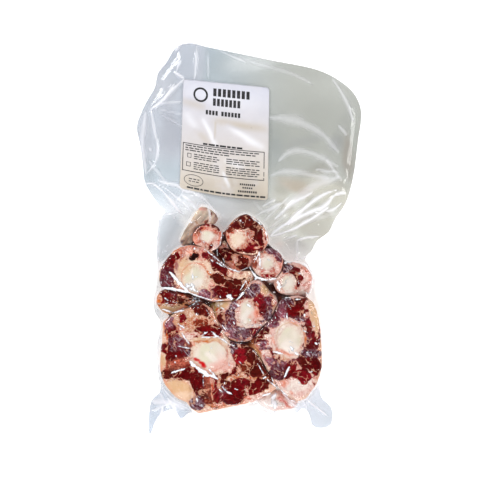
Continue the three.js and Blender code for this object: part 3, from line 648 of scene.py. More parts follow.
def tangled_threads(tree, spot):
    """Threads about a millimetre wide, as lines where a noise crosses its middle: lavender ones of painted
    sheen where the film frosts the lean, and white and red ones in the fat."""
    tangle = node(
        tree, "TexNoise",
        {"Vector": spot, "Scale": 1 / (5 * MM), "Detail": 3.0, "Roughness": 0.6, "Distortion": 1.0},
    )
    channels = node(tree, "SeparateColor", {0: tangle.outputs["Color"]})
    threads = []
    for channel, wide in zip(channels.outputs, (0.055, 0.03, 0.03)):
        off = node(tree, "Math", {0: channel, 1: 0.5}, operation="SUBTRACT")
        away = node(tree, "Math", {0: off.outputs[0]}, operation="ABSOLUTE").outputs[0]
        ends = {"From Min": wide / 3, "From Max": wide, "To Min": 1.0, "To Max": 0.0}
        threads.append(node(tree, "MapRange", {"Value": away, **ends}).outputs[0])
    return threads


def lean_with_frost_and_sheen(tree, spot, mottle, specks, thread):
    """Raw muscle in bundles a few millimetres across, each of its own shade. Fat shows as pale lines
    between some of them, and the film frosts them: lavender clouds and threads that are partly the film's
    milkiness and partly painted sheen, and white wrinkles that are painted highlights."""
    lean_tone = node(tree, "Attribute", attribute_name="lean_tone").outputs["Color"]
    film_frost_and_sheen = node(tree, "Attribute", attribute_name="film_frost_and_sheen").outputs["Fac"]
    bend = node(tree, "TexNoise", {"Vector": spot, "Scale": 1 / (7 * MM), "Detail": 2.0, "Roughness": 0.4})
    bent = node(
        tree, "VectorMath", {0: bend.outputs["Color"], 1: (11 * MM,) * 3, 2: spot},
        operation="MULTIPLY_ADD",
    )
    cells = {"Vector": bent.outputs[0], "Scale": 1 / (7.5 * MM)}
    seams = node(tree, "TexVoronoi", cells, feature="DISTANCE_TO_EDGE")
    bundle = node(tree, "SeparateColor", {0: node(tree, "TexVoronoi", cells).outputs["Color"]})
    shade = node(tree, "MapRange", {"Value": bundle.outputs[0], "To Min": 0.8, "To Max": 1.12})
    mottled = node(
        tree, "MapRange",
        {"Value": mottle, "From Min": 0.34, "From Max": 0.68, "To Min": 0.45, "To Max": 1.5},
    )
    brightness = node(tree, "Math", {0: shade.outputs[0], 1: mottled.outputs[0]}, operation="MULTIPLY")
    shaded = node(tree, "VectorMath", {0: lean_tone, "Scale": brightness.outputs[0]}, operation="SCALE")
    areas = node(tree, "TexNoise", {"Vector": spot, "Scale": 1 / (6 * MM), "Detail": 3.0})
    width = node(
        tree, "MapRange",
        {"Value": areas.outputs["Fac"], "From Min": 0.5, "From Max": 0.7, "To Min": 0.001, "To Max": 0.1},
    )
    apart = node(tree, "Math", {0: seams.outputs["Distance"], 1: width.outputs[0]}, operation="DIVIDE")
    bare = layered(
        tree, shaded.outputs[0],
        (
            (apart.outputs[0], 1.0, 0.6, 0.8, "#d49c80"),
            (specks, 0.47, 0.4, 0.55, "#3a0306"),
        ),
    )
    clouds = node(
        tree, "TexNoise", {"Vector": spot, "Scale": 1 / (2.6 * MM), "Detail": 3.0, "Roughness": 0.6}
    )
    drawn = node(
        tree, "Mapping", {"Vector": spot, "Rotation": (0, 0, math.radians(-42)), "Scale": (2.6, 1, 1)},
        vector_type="TEXTURE",
    )
    wrinkles = node(tree, "TexNoise", {"Vector": drawn.outputs[0], "Scale": 1 / (1.6 * MM), "Detail": 2.0})
    # The film's frost: lavender clouds and threads of painted sheen, partly its own milkiness, and white
    # wrinkles of painted highlight.
    return layered(
        tree, bare,
        (
            (clouds.outputs["Fac"], 0.44, 0.62, 0.6, "#7c4c5f"),
            (thread, 0.0, 1.0, 0.4, "#cfb3bf"),
            (wrinkles.outputs["Fac"], 0.57, 0.66, 0.9, "#f1e4ec"),
        ),
        film_frost_and_sheen,
    )


def stained_fat(tree, spot, depth, specks, white_thread, red_thread):
    """Beef fat with blotches of blood and of white, threads, a warm stain where it meets the lean, and
    flecks of bright blood beside that. Clean fat and bone have little of these."""
    fat_tone = node(tree, "Attribute", attribute_name="fat_tone").outputs["Color"]
    clean_share = node(tree, "Attribute", attribute_name="clean_share").outputs["Fac"]
    dots = node(
        tree, "TexNoise", {"Vector": spot, "Scale": 1 / (2.1 * MM), "Detail": 2.0, "Distortion": 0.6}
    )
    dot = node(tree, "MapRange", {"Value": dots.outputs["Fac"], "From Min": 0.56, "From Max": 0.62})
    beside = node(tree, "MapRange", {"Value": depth, "From Min": -4.5, "From Max": -1.5})
    flecks = node(tree, "Math", {0: dot.outputs[0], 1: beside.outputs[0]}, operation="MULTIPLY")
    stain = node(
        tree, "TexNoise",
        {"Vector": spot, "Scale": 1 / (5 * MM), "Detail": 5.0, "Roughness": 0.65, "Distortion": 0.8},
    ).outputs["Fac"]
    dirty = node(tree, "MapRange", {"Value": clean_share, "From Max": 0.8, "To Min": 1.0, "To Max": 0.06})
    return layered(
        tree, fat_tone,
        (
            (stain, 0.57, 0.7, 0.75, "#b3482d"),
            (stain, 0.49, 0.38, 0.6, "#f6ece0"),
            (specks, 0.42, 0.36, 0.35, "#b4664c"),
            (white_thread, 0.2, 1.0, 0.6, "#f6ece5"),
            (red_thread, 0.2, 1.0, 0.5, "#a03323"),
            (depth, -1.8, -0.1, 0.45, "#b8643a"),
            (flecks.outputs[0], 0.0, 1.0, 0.8, "#b5220f"),
        ),
        dirty.outputs[0],
    )


def cut_tissue(name, wetness):
    """A sawn face of raw beef under film: dark lean bundles in pale sheaths, marbled with fat and
    frosted by the film with painted sheen and highlights, between creamy fat, blood-stained membranes and
    smooth bone."""
    material, tree, surface = new_material(name)
    spot = node(tree, "TexCoord").outputs["Object"]
    depth = node(tree, "Attribute", attribute_name="lean_depth").outputs["Fac"]
    ragged = node(
        tree, "TexNoise", {"Vector": spot, "Scale": 1 / (3 * MM), "Detail": 5.0, "Roughness": 0.7}
    )
    edge = node(tree, "Math", {0: ragged.outputs["Fac"], 1: 5.0, 2: depth}, operation="MULTIPLY_ADD")
    lean = node(
        tree, "MapRange",
        {"Value": edge.outputs[0], "From Min": 2.3, "From Max": 2.8},
        interpolation_type="SMOOTHSTEP",
    )
    mottle = node(
        tree, "TexNoise", {"Vector": spot, "Scale": 1 / (3.4 * MM), "Detail": 4.0, "Roughness": 0.7}
    ).outputs["Fac"]
    specks = node(
        tree, "TexNoise", {"Vector": spot, "Scale": 1 / (1.5 * MM), "Detail": 2.0}
    ).outputs["Fac"]
    lavender_thread, white_thread, red_thread = tangled_threads(tree, spot)
    lean_shown = lean_with_frost_and_sheen(tree, spot, mottle, specks, lavender_thread)
    fat_shown = stained_fat(tree, spot, depth, specks, white_thread, red_thread)
    mixing = {MIX_SHARE: lean.outputs[0], MIX_UNDER: fat_shown, MIX_OVER: lean_shown}
    flesh = node(tree, "Mix", mixing, data_type="RGBA")
    tree.links.new(flesh.outputs[MIX_RESULT], surface.inputs["Base Color"])
    surface.inputs["Roughness"].default_value = wetness
    surface.inputs["Specular IOR Level"].default_value = 0.04
    grain = node(tree, "Bump", {"Height": mottle, "Distance": 0.6 * MM, "Strength": 0.5})
    tree.links.new(grain.outputs[0], surface.inputs["Normal"])
    return material


# The film, laid on a grid in millimetres
CELL = 0.8
XS = np.arange(-106, 106, CELL)
YS = np.arange(-182, 182, CELL)
GRID_X, GRID_Y = np.meshgrid(XS, YS)
GRID = np.column_stack([GRID_X.ravel(), GRID_Y.ravel()])


def sample(field, x, y):
    """A field's value between its cells."""
    column = np.clip((x - XS[0]) / CELL, 0, len(XS) - 1.001)
    row = np.clip((y - YS[0]) / CELL, 0, len(YS) - 1.001)
    left = column.astype(int)
    low = row.astype(int)
    across = column - left
    up = row - low
    below = field[low, left] * (1 - across) + field[low, left + 1] * across
    above = field[low + 1, left] * (1 - across) + field[low + 1, left + 1] * across
    return below * (1 - up) + above * up


def neighbours(field):
    """A field moved by one cell in each of the four directions."""
    return [np.roll(field, 1, 0), np.roll(field, -1, 0), np.roll(field, 1, 1), np.roll(field, -1, 1)]


def grown(field, times, best=np.maximum):
    """A field in which each cell takes the highest value beside it, or the lowest with np.minimum."""
    for _ in range(times):
        field = best.reduce([field, *neighbours(field)])
    return field


def evened(field, times):
    """A field in which each cell is averaged with the four beside it."""
    for _ in range(times):
        field = (field + sum(neighbours(field))) / 5
    return field


def evened_rows(rows, times):
    """Rows in which each is averaged with the one before and the one after it."""
    for _ in range(times):
        rows = (rows + np.roll(rows, 1, 0) + np.roll(rows, -1, 0)) / 3
    return rows


def pouch_outline():
    """The pouch's outline, read off the underside of its CAD solid as points that go round in order."""
    made = merged("pouch")
    follows = {}
    for edge in made.edges:
        if len(edge.link_faces) != 2 or max(vert.co.z for vert in edge.verts) >= 0.01 * MM:
            continue
        if sum(face.normal.z < -0.9 for face in edge.link_faces) == 1:
            one, other = edge.verts
            follows.setdefault(one.index, []).append(other.index)
            follows.setdefault(other.index, []).append(one.index)
    spots = {vert.index: (vert.co.x / MM, vert.co.y / MM) for vert in made.verts}
    made.free()
    start = next(iter(follows))
    order = [start]
    before = None
    here = start
    while True:
        onward = [other for other in follows[here] if other != before]
        before, here = here, onward[0]
        if here == start:
            return np.array([spots[index] for index in order])
        order.append(here)


BATCH = 4000  # points that are measured at a time


def outline_gap(points, outline):
    """Signed distance of points to the outline, negative inside, and the nearest point on it."""
    sides = np.roll(outline, -1, axis=0) - outline
    lengths = (sides**2).sum(axis=1)
    slope = sides[:, 0] / np.where(sides[:, 1] == 0, 1e-9, sides[:, 1])
    gaps = np.empty(len(points))
    nearest = np.empty_like(points)
    for low in range(0, len(points), BATCH):
        some = points[low : low + BATCH, None, :]
        away = some - outline
        along = np.clip((away * sides).sum(axis=2) / lengths, 0, 1)
        on_side = outline + along[..., None] * sides
        distance = np.hypot(*np.moveaxis(some - on_side, 2, 0))
        best = distance.argmin(axis=1)
        rows = np.arange(len(some))
        # A point is inside if a line from it to the right crosses the outline an odd number of times.
        starts_above = outline[:, 1] > some[..., 1]
        ends_above = outline[:, 1] + sides[:, 1] > some[..., 1]
        left_of = some[..., 0] < slope * away[..., 1] + outline[:, 0]
        inside = ((starts_above != ends_above) & left_of).sum(axis=1) % 2 == 1
        gaps[low : low + BATCH] = np.where(inside, -1, 1) * distance[rows, best]
        nearest[low : low + BATCH] = on_side[rows, best]
    return gaps, nearest


# Folds of the film: from and to, in pixels of the photograph, then half the width in pixels, the
# height in millimetres, and how white the fold's painted highlight is. The first list lies where the film
# is loose.
LOOSE_FOLDS = [
    (266, 213, 281, 204, 1.2, 1.0, 0.35), (262, 222, 290, 198, 1.2, 1.2, 0.3),
    (262, 206, 276, 199, 1.4, 0.8, 0.4), (184, 190, 176, 203, 1.0, 0.8, 0.35),
    (206, 200, 186, 188, 1.0, 1.0, 0.5), (160, 217, 157, 260, 0.8, 0.6, 0.35),
    (174, 71, 184, 78, 2.6, 1.4, 0.7), (175, 84, 164, 101, 2.2, 1.4, 0.6),
    (196, 45, 194, 80, 1.6, 1.4, 0.35), (182, 60, 177, 72, 1.2, 0.8, 0.5),
    (150, 160, 168, 186, 1.8, 1.2, 0.3), (206, 50, 208, 78, 1.3, 0.8, 0.25),
    (220, 52, 248, 63, 1.8, 1.0, 0.35), (182, 42, 176, 52, 2.0, 0.8, 0.5),
    (152, 236, 158, 262, 1.2, 0.4, 0.3), (300, 262, 314, 268, 1.6, 0.8, 0.35),
    (162, 404, 158, 428, 2.4, 0.8, 0.7), (166, 398, 176, 414, 2.0, 0.8, 0.6),
    (158, 392, 164, 404, 2.0, 0.4, 0.5), (152, 412, 172, 404, 1.6, 0.6, 0.6),
    (308, 400, 328, 416, 2.0, 0.8, 0.8), (305, 402, 311, 420, 1.4, 0.6, 0.6),
    (304, 262, 313, 276, 1.8, 0.8, 0.4), (313, 276, 309, 292, 1.6, 0.8, 0.35),
]

# The second list lies over the meat, where each fold bridges a crevice or stands off a face.
TIGHT_FOLDS = [
    (169, 271.5, 188, 292, 1.7, 0.5, 0.95), (162, 287.5, 190, 292.5, 1.7, 0.5, 0.85),
    (190, 293, 212, 300.5, 1.0, 0.4, 0.9), (226, 296, 233, 299, 2.6, 0.3, 0.75),
    (212, 301, 226, 300, 0.8, 0.3, 0.6), (206, 250, 228, 268, 0.8, 0.5, 0.7),
    (228, 268, 238, 271.5, 0.9, 0.4, 0.8), (238, 271.5, 249.5, 267, 0.8, 0.4, 0.65),
    (210, 258, 214, 262.5, 1.2, 0.2, 0.55), (216, 262, 224, 267, 1.1, 0.2, 0.55),
    (250, 267, 255, 276, 1.3, 0.5, 0.85), (255, 276, 267, 280.5, 1.3, 0.5, 0.85),
    (267, 280.5, 277, 278, 1.1, 0.4, 0.8), (261, 249, 253.5, 264, 0.8, 0.3, 0.6),
    (216.5, 247, 217.5, 256, 1.2, 0.4, 0.7), (222, 231, 220, 246, 1.0, 0.4, 0.5),
    (250, 216, 262, 225, 1.3, 0.4, 0.55), (266, 231, 268, 246, 1.0, 0.4, 0.55),
    (278, 281, 280, 291, 2.8, 0.3, 0.75), (259.5, 253, 260.5, 268, 1.2, 0.3, 0.75),
    (192.5, 272, 193, 281, 1.4, 0.2, 0.5), (186, 284, 198, 292, 4.5, 0.2, 0.5),
    (190, 361, 198, 369, 1.7, 0.5, 1.0), (197, 367, 209, 376, 2.4, 0.5, 1.0),
    (208, 374, 218, 379, 1.5, 0.4, 0.9), (211, 371, 216, 377, 1.0, 0.3, 0.8),
    (171, 373, 187, 367.5, 1.7, 0.3, 0.7), (193, 385, 212, 401, 0.9, 0.3, 0.3),
    (203, 374, 204, 388, 0.8, 0.2, 0.5), (181.5, 332, 190, 344.5, 1.0, 0.3, 0.85),
    (178, 323, 185, 328.5, 1.2, 0.2, 0.55), (202, 337.5, 212, 337.5, 0.9, 0.3, 0.8),
    (212, 337.5, 219, 336, 0.9, 0.3, 0.8), (202, 336, 208, 331.5, 0.7, 0.2, 0.6),
    (177, 346.5, 191, 348.5, 1.1, 0.2, 0.6), (211, 331, 218, 337, 1.0, 0.3, 0.7),
    (218, 337, 230, 344.5, 1.0, 0.4, 0.85), (230, 344.5, 235, 345.5, 0.9, 0.3, 0.6),
    (205, 307.5, 210.5, 317.5, 0.8, 0.3, 0.5), (210.5, 317.5, 218, 324, 0.8, 0.3, 0.5),
    (161.5, 309.5, 172, 312.8, 1.1, 0.4, 0.9), (172, 312.8, 185, 310, 1.0, 0.4, 0.8),
    (234, 302.5, 241, 308, 1.1, 0.3, 0.9), (236, 301, 244.5, 292, 0.8, 0.4, 0.75),
    (196, 398, 198, 402, 1.3, 0.3, 0.7), (201, 404, 204, 407, 1.3, 0.3, 0.6),
    (222, 386, 229.5, 394, 1.8, 0.2, 0.45), (257, 363, 266, 378, 0.7, 0.4, 0.75),
    (266, 378, 277, 387.5, 0.8, 0.4, 0.85), (284, 377.5, 289.3, 366.5, 1.6, 0.3, 0.75),
    (271.5, 351, 283, 354, 1.0, 0.3, 0.8), (291, 320.5, 294, 322, 0.8, 0.1, 0.7),
    (302, 330, 309, 333, 1.0, 0.2, 0.5), (304, 313, 305, 317, 1.3, 0.2, 0.7),
    (315, 342, 317.5, 345, 1.5, 0.2, 0.7), (305, 352.5, 317, 352, 1.6, 0.2, 0.4),
    (286.5, 312.5, 287.3, 319.5, 0.9, 0.2, 0.75), (276, 392, 273, 402, 3.2, 0.4, 0.9),
    (273, 400, 276, 411, 3.4, 0.4, 0.9), (281, 390, 288, 396, 1.2, 0.3, 0.6),
    (262, 396, 271, 393, 1.4, 0.4, 0.7), (290, 401, 296, 403, 2, 0.3, 0.7),
    (292, 405, 297, 410, 2.2, 0.3, 0.5), (247, 280, 240, 290, 0.8, 0.4, 0.6),
    (296, 299, 301, 299, 0.9, 0.2, 0.6), (284, 298, 291, 297.5, 0.8, 0.2, 0.5),
    (288, 277, 283, 290, 2.4, 0.1, 0.35), (290, 346, 293, 352, 3.0, 0.1, 0.5),
    (222, 324, 226, 330, 0.7, 0.1, 0.5), (233, 321, 235, 325, 0.9, 0.1, 0.6),
    (225, 326.5, 232, 331, 0.7, 0.1, 0.4), (244, 326, 262, 325, 1.2, 0.1, 0.45),
]

# Long folds that curve, most of them across the empty end: half the width in pixels, the height,
# how white their painted highlight is, then the points they pass through
RIBBONS = [
    (1.2, 1.0, 0.5, (256, 215.6), (264, 212), (271, 209.4), (275, 205.6), (281, 203.5)),
    (1.5, 1.8, 0.7, (274, 220), (281, 213.8), (287.5, 207), (296, 200.6), (305, 196.3), (313, 192)),
    (1.7, 2.2, 0.95, (287, 222), (296, 215), (310, 203.8), (321, 195), (336, 190.6)),
    (1.9, 2.2, 0.95, (271, 235.5), (285, 224.4), (296, 218.8), (314, 210), (325, 206), (337, 193)),
    (1.4, 1.6, 0.9, (270, 236.5), (284, 233.5), (296, 227.5), (310, 220), (320, 212.5), (328, 207)),
    (1.0, 1.0, 0.7, (283, 240.5), (290, 238), (297, 235.5)),
    (1.0, 1.0, 0.8, (297, 240.6), (305, 237.5), (319, 235.6)),
    (1.6, 0.8, 0.4, (297, 241), (296.5, 250), (295.6, 260)),
    (1.0, 0.5, 0.5, (292, 261), (301, 258), (312, 254.5)),
    (2.6, 1.0, 0.8, (335, 196), (340, 193.5), (346, 193)),
    (1.4, 0.8, 0.7, (326, 211), (334, 209), (342, 203)),
    (4.5, 1.0, 0.3, (270, 118), (290, 119), (310, 126), (327, 139), (338, 152)),
    (3.0, 0.8, 0.3, (279, 161), (287, 153), (296, 150), (312, 152.5), (325, 160), (338, 167)),
    (2.6, 0.8, 0.3, (270, 176), (280, 172), (293, 171), (312, 176), (328, 177.5)),
    (3.6, 1.0, 0.35, (284, 205), (302, 194), (318, 183), (338, 177)),
    (1.4, 0.6, 0.4, (326, 160), (333, 170), (341, 180)),
    (3.2, 0.8, 0.75, (153, 401), (164, 402.5), (177, 404), (190, 408)),
    (2.0, 0.3, 0.8, (164, 387), (169, 395), (177, 401), (188, 403.5)),
    (1.4, 0.3, 0.6, (281, 389), (287, 396), (293, 402.5), (298, 405)),
    (1.2, 0.6, 0.4, (316, 170), (328, 172), (340, 172)),
    (2.2, 0.6, 0.35, (338, 126), (343, 130), (346, 135)),
    (2.2, 0.8, 0.2, (240, 58), (262, 66), (288, 72), (312, 84)),
    (1.4, 1.2, 0.9, (145.7, 182.4), (153.6, 183), (162, 191.7), (172, 200.3), (179, 211.7), (184, 214)),
    (1.5, 1.2, 0.85, (158, 180), (166.4, 183.9), (178, 186), (185, 191.7), (192, 192), (202, 197.4)),
    (1.2, 1.0, 0.65, (159, 184.6), (173.6, 194.6), (182, 201.7), (192, 211.7)),
    (1.6, 1.0, 0.6, (180.7, 194.6), (192, 203), (198, 210.3)),
    (1.2, 1.0, 0.75, (196, 193), (205, 199), (211, 206), (217, 214)),
    (1.0, 0.6, 0.7, (209, 206), (210.3, 214), (210.7, 223)),
    (1.0, 0.6, 0.5, (162, 216.7), (167, 214.4), (178, 212.4)),
    (1.6, 1.6, 0.7, (184, 79), (170, 92), (160, 103), (152, 109)),
    (1.3, 1.2, 0.55, (152, 110), (155, 133), (158, 142), (157, 160), (147, 173)),
    (1.2, 1.0, 0.4, (152, 108), (162, 103), (181, 101.7)),
    (2.4, 0.8, 0.45, (146, 112), (143, 130), (142, 150), (146, 174)),
    (1.0, 0.5, 0.6, (148.6, 147), (150, 149), (151, 151.5)),
    (1.6, 0.8, 0.4, (332, 78), (345, 98), (353, 122)),
]

# Painted reflections on the loose film, tints of what it would mirror: a colour, the place as for the
# tissue, and how strong the tint is. The near-white one over fat_end is painted light that lifts the shade
# there.
PAINTED_REFLECTIONS = [
    ("#5f6360", 305, 138, 22, 5, 16, 0.5), ("#98815a", 297, 185, 17, 7, -18, 0.8),
    ("#5c4a22", 350, 154, 6, 24, 4, 0.85), ("#4c504f", 337, 140, 8, 6, 30, 0.7),
    ("#5a6a70", 277, 148, 6, 14, 0, 0.3), ("#55522f", 317, 169, 17, 7, 16, 0.7),
    ("#8f8868", 318, 201, 14, 3, -32, 0.7), ("#88826a", 316, 226, 15, 12, -40, 0.8),
    ("#8f8868", 291, 211, 20, 3.4, -40, 0.7), ("#8c8465", 330, 216, 5, 6, 0, 0.7),
    ("#7f7a60", 342, 184, 7, 5, -40, 0.6), ("#7e7668", 301, 250, 15, 11, 0, 0.85),
    ("#a4adb2", 162, 84, 14, 22, 35, 0.4), ("#4b6678", 146, 145, 6, 32, 0, 0.6),
    ("#34586e", 168, 132, 9, 28, 0, 0.9), ("#6c7064", 347, 120, 7, 26, -20, 0.5),
    ("#6b7f86", 212, 66, 18, 9, 8, 0.3), ("#dfe3e3", 250, 58, 26, 9, 10, 0.35),
    ("#e9edf3", 190, 199, 16, 8, 40, 0.6), ("#aebfcb", 155, 200, 8, 16, -30, 0.5),
    ("#fff6f4", 276, 405, 24, 12, 0, 1.0), ("#a89f80", 330, 190, 26, 9, -36, 0.5),
    ("#7c7758", 281, 191, 8, 6, -30, 0.7), ("#807a5e", 309, 214, 9, 5, -40, 0.7),
]

# Where the loose film is gathered: the point it runs from, its first and last angle, its first and
# last radius in pixels, and how white its pleats' painted highlights are
GATHERS = [
    (250, 243, 8, 60, 18, 105, 0.2), (247, 196, -75, -25, 4, 40, 0.25), (200, 214, 100, 178, 8, 48, 0.3),
    (150, 108, -60, 50, 4, 60, 0.25),
]


def pleats(points):
    """How white the painted highlights are on the fine pleats that fan out from where the film is gathered.
    """
    shine = np.zeros(len(points))
    for px, py, first, last, near, far, most in GATHERS:
        away = points - on_floor(px, py)
        radius = np.hypot(*away.T) / FLOOR_SCALE
        angle = np.degrees(np.arctan2(away[:, 1], away[:, 0]))
        spread = 0.5 * (near + far)
        pattern = noise(np.column_stack([np.radians(angle) * spread / 3.4, radius / 30]), 1, 33)
        fan = smoothstep(first, first + 12, angle) * smoothstep(last, last - 12, angle)
        reach = smoothstep(near, near + 12, radius) * smoothstep(far, far - 30, radius)
        shine = np.maximum(shine, most * fan * reach * smoothstep(0.15, 0.75, pattern))
    return shine


FOLD_WIDTH = 0.8  # how wide a straight fold is against its listed width
# Each spark is a painted highlight on a short wrinkle.
SPARKS = 110  # how many short wrinkles catch the light over the meat


def spark_folds():
    """Short fine wrinkles scattered over the meat, most of them slanting down to the right, each with a
    painted highlight.
    """
    draw = np.random.default_rng(5)
    px = draw.uniform(158, 322, SPARKS)
    py = draw.uniform(212, 404, SPARKS)
    turn = np.radians(draw.normal(42, 32, SPARKS))
    half = draw.uniform(0.8, 3, SPARKS)
    dx = half * np.cos(turn)
    dy = half * np.sin(turn)
    wide = draw.uniform(0.55, 1.1, SPARKS)
    shine = draw.uniform(0.4, 0.85, SPARKS)
    return np.column_stack([px - dx, py - dy, px + dx, py + dy, wide, np.full(SPARKS, 0.1), shine])


def rounded(path):
    """A path in millimetres with its corners cut."""
    for _ in range(2):
        steps = np.diff(path, axis=0)
        cut = np.stack([path[:-1] + 0.25 * steps, path[:-1] + 0.75 * steps], axis=1).reshape(-1, 2)
        path = np.concatenate([path[:1], cut, path[-1:]])
    return path


def along_path(points, path):
    """How far points lie from a path, and their share of the way along it."""
    steps = np.diff(path, axis=0)
    lengths = np.hypot(*steps.T)
    before = np.concatenate([[0], np.cumsum(lengths)])
    gap = np.full(len(points), np.inf)
    share = np.zeros(len(points))
    for start, step, length, passed in zip(path, steps, lengths, before):
        run = np.clip((points - start) @ step / length, 0, length)
        off = np.hypot(*(points - start - run[:, None] * step / length).T)
        nearer = off < gap
        gap[nearer] = off[nearer]
        share[nearer] = (passed + run[nearer]) / before[-1]
    return gap, share


def along_line(points, start, end):
    """How far points lie along a straight line and to the left of it, and its length."""
    way = end - start
    length = np.hypot(*way)
    way = way / length
    away = points - start
    return away @ way, away @ np.array([-way[1], way[0]]), length


def straight_folds(points, heights, clear, folds, to_pack, sway, thickness):
    """Adds straight folds to the heights, and takes their painted highlight off what is clear. The folds
    were read off one plane, and have one sway and one raggedness."""
    for x0, y0, x1, y1, wide, height, shine in folds:
        run, left, length = along_line(points, to_pack(x0, y0), to_pack(x1, y1))
        near = np.flatnonzero(np.abs(run - length / 2) < length / 2 + 6 * wide)
        along = np.clip(run[near] / length, 0, 1)
        taper = (4 * along * (1 - along)) ** 0.6
        reach = wide * FOLD_WIDTH * FLOOR_SCALE * (0.2 + 0.8 * taper)
        offset = np.hypot(left[near] + sway[near], run[near] - along * length) / reach
        heights[near] += height * taper * np.exp(-((offset / 1.3) ** 2))
        white = 1.2 * shine * np.exp(-((offset / thickness[near]) ** 2))
        clear[near] *= 1 - np.minimum(white, 1)


def long_folds(points, heights, clear, thickness):
    """Adds the long curved folds to the heights, and takes their painted highlight off what is clear."""
    swayed = points + shifts(points, 12, 18, 0.9)
    for wide, height, shine, *spots in RIBBONS:
        path = rounded(np.array([on_floor(*spot) for spot in spots]))
        boxed = (swayed > path.min(axis=0) - 5 * wide) & (swayed < path.max(axis=0) + 5 * wide)
        near = np.flatnonzero(boxed.all(axis=1))
        gap, share = along_path(swayed[near], path)
        taper = (4 * share * (1 - share)) ** 0.5
        offset = gap / (wide * FLOOR_SCALE * (0.25 + 0.75 * taper))
        heights[near] += height * taper * np.exp(-((offset / 1.3) ** 2))
        clear[near] *= 1 - np.minimum(shine * np.exp(-((offset / thickness[near]) ** 2)), 1)


def fold_fields(points):
    """How high the folds stand, and how white the painted highlights are of those over the empty end and
    of those over the meat, at points in millimetres."""
    heights = np.zeros(len(points))
    loose = 1 - pleats(points)
    tight = np.ones(len(points))
    easy = noise(points, 26, 12) * 2.2 + noise(points, 9, 18) * 0.35
    tense = noise(points, 9, 12) * 0.5 + noise(points, 3.5, 18) * 0.3
    streaky = np.maximum(1 + 0.5 * noise(points, 9, 21) + 0.2 * noise(points, 3, 22), 0.4)
    ragged = np.maximum(1 + 0.7 * noise(points, 1.9, 21) + 0.45 * noise(points, 6, 22), 0.3)
    straight_folds(points, heights, loose, LOOSE_FOLDS, on_floor, easy, streaky)
    straight_folds(points, heights, tight, [*TIGHT_FOLDS, *spark_folds()], on_face, tense, ragged)
    long_folds(points, heights, loose, streaky)
    return heights, 1 - loose, 1 - tight


FILM_TOP = 41.0  # the film stays under this height
FILM_GAP = 0.3  # how far the film lies over the meat, and its sealed rim over the table
FILM_STEPS = 1600  # how many times the film is relaxed
EMPTY_HEIGHT = 0.35  # the least height of the film within its sealed rim
NECK = (-12, 16)  # the stretch along the pack where the film goes from tight to easy
TIGHT_PULL = 1.3  # how sharply the vacuum bends the film beside the meat, in each millimetre
EASY_PULL = 0.085  # how sharply it bends the film of the empty end
FILM_COUNTS = (256, 384)  # how many points the front film has across and along
BACK_HEIGHT = 0.15  # how high the back film lies over the table
BACK_SPANS = [(102, 100), (177, 170)]  # the back film's half width and points, across and along

# Where the film stands loose outside the empty end: how hazy, then the place as for the tissue
HAZES = [
    (0.8, 168, 240, 15, 28, 0), (0.95, 162, 414, 30, 34, 0), (0.7, 320, 414, 26, 30, 0),
    (0.4, 309, 277, 8, 17, 0), (0.7, 156, 340, 9, 60, 0), (0.15, 276, 408, 22, 10, 0),
    (0.4, 232, 410, 30, 6, 0),
]


def roof_over(pieces):
    """How high the pieces reach over each cell."""
    roof = np.zeros(GRID_X.shape)
    for piece in pieces:
        points = coordinates(piece.data)
        column = np.rint((points[:, 0] - XS[0]) / CELL).astype(int)
        row = np.rint((points[:, 1] - YS[0]) / CELL).astype(int)
        np.maximum.at(roof, (row, column), points[:, 2])
    return grown(roof, 2)


def draped(roof, inside):
    """The film drawn down over the pieces. The vacuum pulls it into a curve: tight round the meat,
    easy towards the empty end."""
    over = np.where(roof > 1, np.maximum(roof, evened(roof, 1)) + FILM_GAP, 0)
    floor = np.maximum(over, EMPTY_HEIGHT)
    neck = smoothstep(*NECK, GRID_Y + 0.25 * GRID_X)
    pull = (TIGHT_PULL * (1 - neck) + EASY_PULL * neck) * CELL**2 / 4
    film = floor.copy()
    for _ in range(FILM_STEPS):
        film = np.maximum(sum(neighbours(film)) / 4 - pull, floor)
        film[~inside] = FILM_GAP
    return film


def on_grid(wavelength, seed):
    """Noise in each cell of the grid."""
    return noise(GRID, wavelength, seed).reshape(GRID_X.shape)


def film_fields(pieces, outline):
    """Lays the front film over the pieces: how high it lies, how hazy it is, and how high the
    pieces reach."""
    roof = roof_over(pieces)
    gap = outline_gap(GRID, outline)[0].reshape(GRID_X.shape)
    inside = gap < -0.4
    film = draped(roof, inside)
    folds = fold_fields(GRID)[0].reshape(GRID_X.shape)
    away = smoothstep(3, 10, np.abs(gap)) * inside
    broad = on_grid(46, 13) + 0.6 * on_grid(24, 14)
    empty = smoothstep(-16, 22, GRID_Y + 0.3 * GRID_X)
    film += away * empty * (1.3 + 1.1 * broad)
    film += folds * smoothstep(0, 3, np.abs(gap)) * inside
    crinkle = np.maximum(1 - np.abs(on_grid(7, 15)) * 2, 0)
    fine = np.maximum(1 - np.abs(on_grid(3.4, 16)) * 2, 0)
    film += smoothstep(0, 2, -gap) * (0.3 * crinkle**2 + 0.2 * fine**2)
    film = np.where(film > FILM_TOP - 1, FILM_TOP - np.exp(FILM_TOP - 1 - film), film)
    swayed = GRID + noise(GRID, 8, 27)[:, None] * 2
    haze = np.full(len(GRID), 0.06)
    for patch in HAZES:
        haze = np.maximum(haze, patch[0] * smoothstep(3, -3, patch_distance(swayed, patch)))
    haze = np.where(roof > 18, 0, haze.reshape(GRID_X.shape))
    haze = empty * (1 + 0.12 * broad) * np.where(roof > 1, 0.01, 1) + (1 - empty) * haze
    return film, evened(haze, 3), roof


def even_steps(density, positions, count):
    """Positions spread so that each step covers the same share of a density's running total."""
    total = np.concatenate([[0], np.cumsum((density[1:] + density[:-1]) / 2)])
    return np.interp(np.linspace(0, total[-1], count), total, positions)


